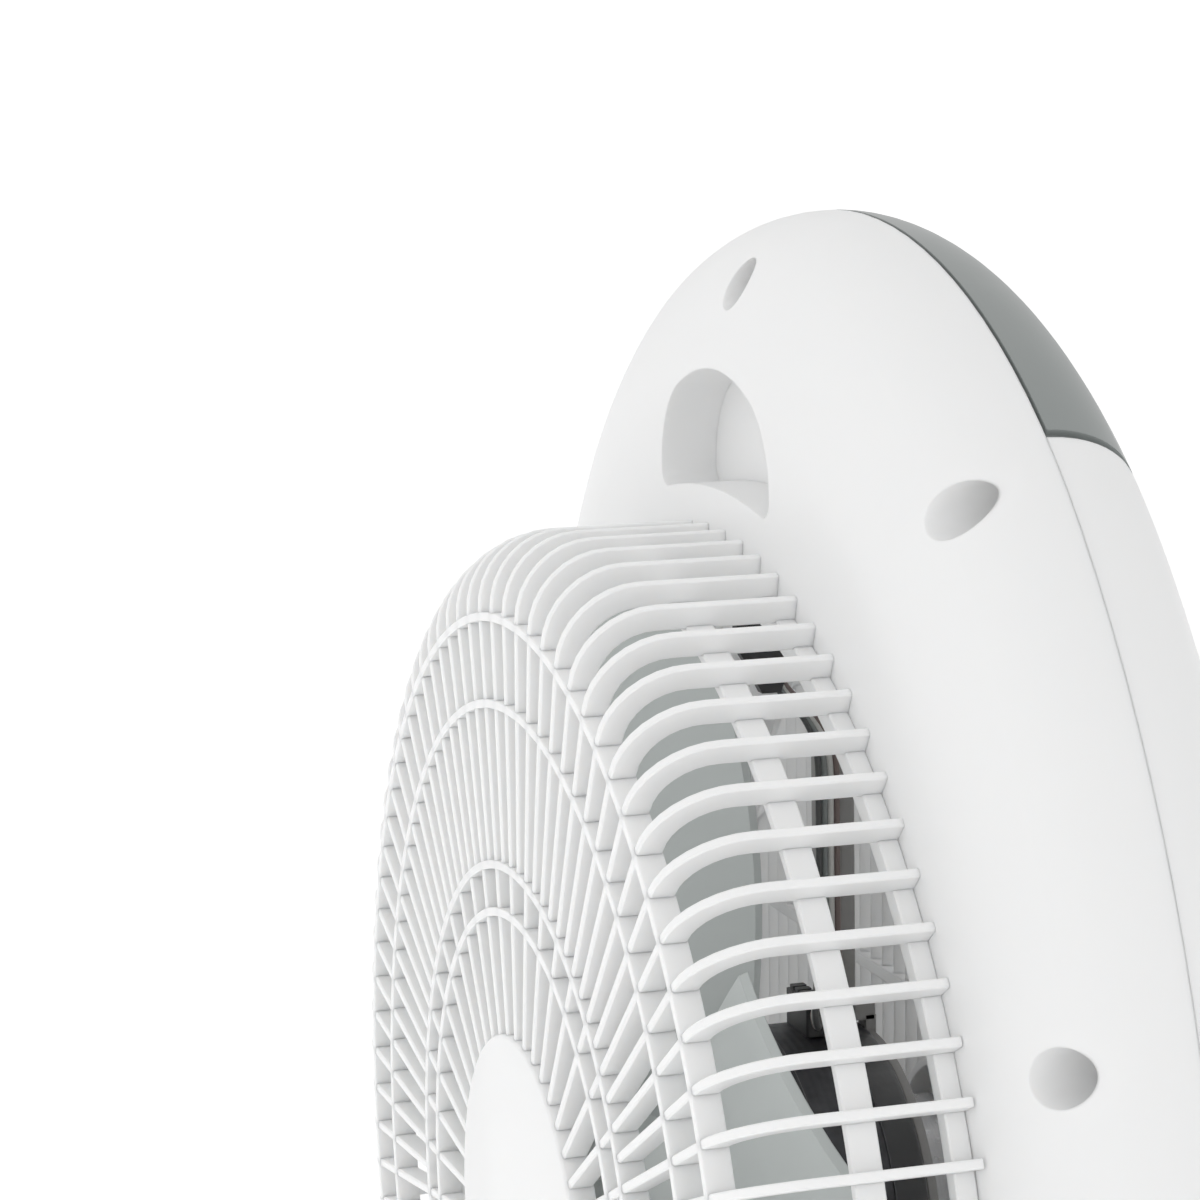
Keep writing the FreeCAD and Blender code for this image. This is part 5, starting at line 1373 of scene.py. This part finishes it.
# %% Screws in their places
FACING = {
    "back": Matrix.Identity(3),
    "front": Matrix.Rotation(math.pi, 3, "Z"),
    "down": Matrix.Rotation(-math.pi / 2, 3, "X"),
}
SHANK_RADIUS = 1.6 * MM
SCREW_LENGTH, STUD_LENGTH = 16 * MM, 34.7 * MM
PAD_SCREW_RADIUS = 148.6 * MM
FIRST_TURN, NEXT_TURN = 19, 37


def screws(name, node, seats, facing, length):
    """A set of screws, given by the points where their heads sit."""
    bench = bmesh.new()
    tip = -length + MM
    shank_profile = [
        (0.05 * MM, 0.0),
        (0.05 * MM, SHANK_RADIUS),
        (tip, SHANK_RADIUS),
        (-length, 0.6 * MM),
        (-length, 0.0),
    ]
    for number, seat in enumerate(seats):
        place = Matrix.Translation(seat) @ FACING[facing].to_4x4()
        turn = Matrix.Rotation(math.radians(FIRST_TURN + NEXT_TURN * number), 4, "Y")
        head = head_mesh.copy()
        head.transform(place @ turn)
        bench.from_mesh(head)
        bpy.data.meshes.remove(head)
        shank = bmesh.new()
        turned(shank, shank_profile, 24, ABOUT_ORIGIN)
        bmesh.ops.transform(shank, matrix=place, verts=shank.verts)
        shank_mesh = bpy.data.meshes.new("shank")
        shank.to_mesh(shank_mesh)
        shank.free()
        bench.from_mesh(shank_mesh)
        bpy.data.meshes.remove(shank_mesh)
    piece = finished(name, bench, METALS["screw_steel"], "housing", 30)
    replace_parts(piece, node)


shell_seats = middles("housing_screws", 1, lambda low, high: high.y - HEAD_RISE)
screws("shell_screws", "housing_screws", shell_seats, "back", SCREW_LENGTH)
motor_seats = middles("motor_screws", 1, lambda low, high: MOTOR_BACK)
screws("stud_screws", "motor_screws", motor_seats, "back", STUD_LENGTH)
foot_seats = middles("foot_screws", 2, lambda low, high: low.z + HEAD_RISE)
screws("base_screws", "foot_screws", foot_seats, "down", SCREW_LENGTH)
arm_seats = [on_circle(angle, PAD_SCREW_RADIUS, ARM_FRONT) for angle in ARM_ANGLES]
screws("arm_screws", "bracket_screws", arm_seats, "front", SCREW_LENGTH)

# %% [markdown]
# ## Numbers and marks on the panel
#
# The speed dial has four clicks and the timer runs to two hours, so both need numbers. They are
# printed, which means they have almost no height, and they have to follow a panel that curves. A
# ray is sent at the panel from the front, and where it lands gives the place and the tilt of the
# skin there.

# %% Finding the skin of the panel
panel_bench = bmesh.new()
panel_bench.from_mesh(NODES["control_panel"].data)
panel_skin = BVHTree.FromBMesh(panel_bench)
panel_bench.free()


def on_panel(x, z):
    """Matrix that lays something drawn in the X-Y plane flat on the front of the panel."""
    hit, normal, _, _ = panel_skin.ray_cast(Vector((x, -0.2, z)), Vector((0, 1, 0)))
    if normal.y > 0:
        normal = -normal
    tilt = Vector((0, -1, 0)).rotation_difference(normal).to_matrix().to_4x4()
    upright = Matrix.Rotation(math.pi / 2, 4, "X")
    return Matrix.Translation(hit) @ tilt @ upright


x, z = knob_axis("louvre_button")
above_button = on_panel(x, z + 15 * MM).translation
print("skin above the button:", round(-above_button.y / MM, 1), "mm in front of the fan's middle")

# %% [markdown]
# A text object gives the shapes of the numbers, and short ticks stand between them and the knob.
# All of them are laid on the panel one by one and become one thin mesh.

# %% Numbers and ticks
PRINT_HEIGHT = 0.06 * MM
NUMBER_SIZE, NUMBER_RADIUS = 2.9 * MM, 18.3 * MM
TICK_HALF_WIDTH, TICK_HALF_LENGTH, TICK_RADIUS = 0.22 * MM, 0.5 * MM, 16 * MM
DIALS = {
    "speed_knob": (["0", "1", "2", "3"], 45, 45),
    "timer_knob": (["0", "20", "40", "60", "80", "100", "120"], 50, 25),
}


def number_mesh(label):
    """A number as a thin mesh in the X-Y plane, centred."""
    text = bpy.data.curves.new("number", "FONT")
    text.body = label
    text.size = NUMBER_SIZE
    text.align_x = "CENTER"
    text.align_y = "CENTER"
    text.extrude = PRINT_HEIGHT
    drawn = bpy.data.objects.new("number", text)
    mesh = bpy.data.meshes.new_from_object(drawn)
    bpy.data.objects.remove(drawn)
    return mesh


marks = bmesh.new()
for knob, (numbers, step, tick_step) in DIALS.items():
    x, z = knob_axis(knob)
    for number, label in enumerate(numbers):
        turn = math.radians(number * step)
        spot = on_panel(x + NUMBER_RADIUS * math.sin(turn), z + NUMBER_RADIUS * math.cos(turn))
        mesh = number_mesh(label)
        mesh.transform(spot)
        marks.from_mesh(mesh)
        bpy.data.meshes.remove(mesh)
    for tick in range(0, (len(numbers) - 1) * step + 1, tick_step):
        turn = math.radians(tick)
        out = Vector((math.sin(turn), math.cos(turn), 0))
        side = Vector((out.y, -out.x, 0)) * TICK_HALF_WIDTH
        rise = Vector((0, 0, PRINT_HEIGHT))
        square = (-side - rise, side - rise, side + rise, rise - side)
        spot = on_panel(x + TICK_RADIUS * out.x, z + TICK_RADIUS * out.y)
        ends = (-TICK_HALF_LENGTH, TICK_HALF_LENGTH)
        swept(marks, [[spot @ (out * along + corner) for corner in square] for along in ends])
PLASTICS["white_print"] = plastic(
    "white_print", (0.80, 0.80, 0.79), (0.72, 0.72, 0.71), 0.5, bump=0.01, edge=0.0001, dust=0.05
)
finished("dial_marks", marks, PLASTICS["white_print"], "housing")

# %% [markdown]
# A grey line on the grip of each knob points at the numbers. It is a piece of its own that rides on
# the same body as the knob, so it turns with it.

# %% Pointer lines
LINE_HALF, LINE_START, LINE_TIP = 0.45 * MM, 3 * MM, 10.5 * MM

for knob, body in (("speed_knob", "speed_dial"), ("timer_knob", "timer_dial")):
    x, z = knob_axis(knob)
    bench = bmesh.new()
    line_low = (x - LINE_HALF, GRIP_FACE - PRINT_HEIGHT, z + LINE_START - AXIS_HEIGHT)
    line_high = (x + LINE_HALF, GRIP_FACE + 0.3 * MM, z + LINE_TIP - AXIS_HEIGHT)
    beam(bench, line_low, line_high, 0, 0.1 * MM)
    finished("line_" + knob, bench, PLASTICS["grey_panel"], body)
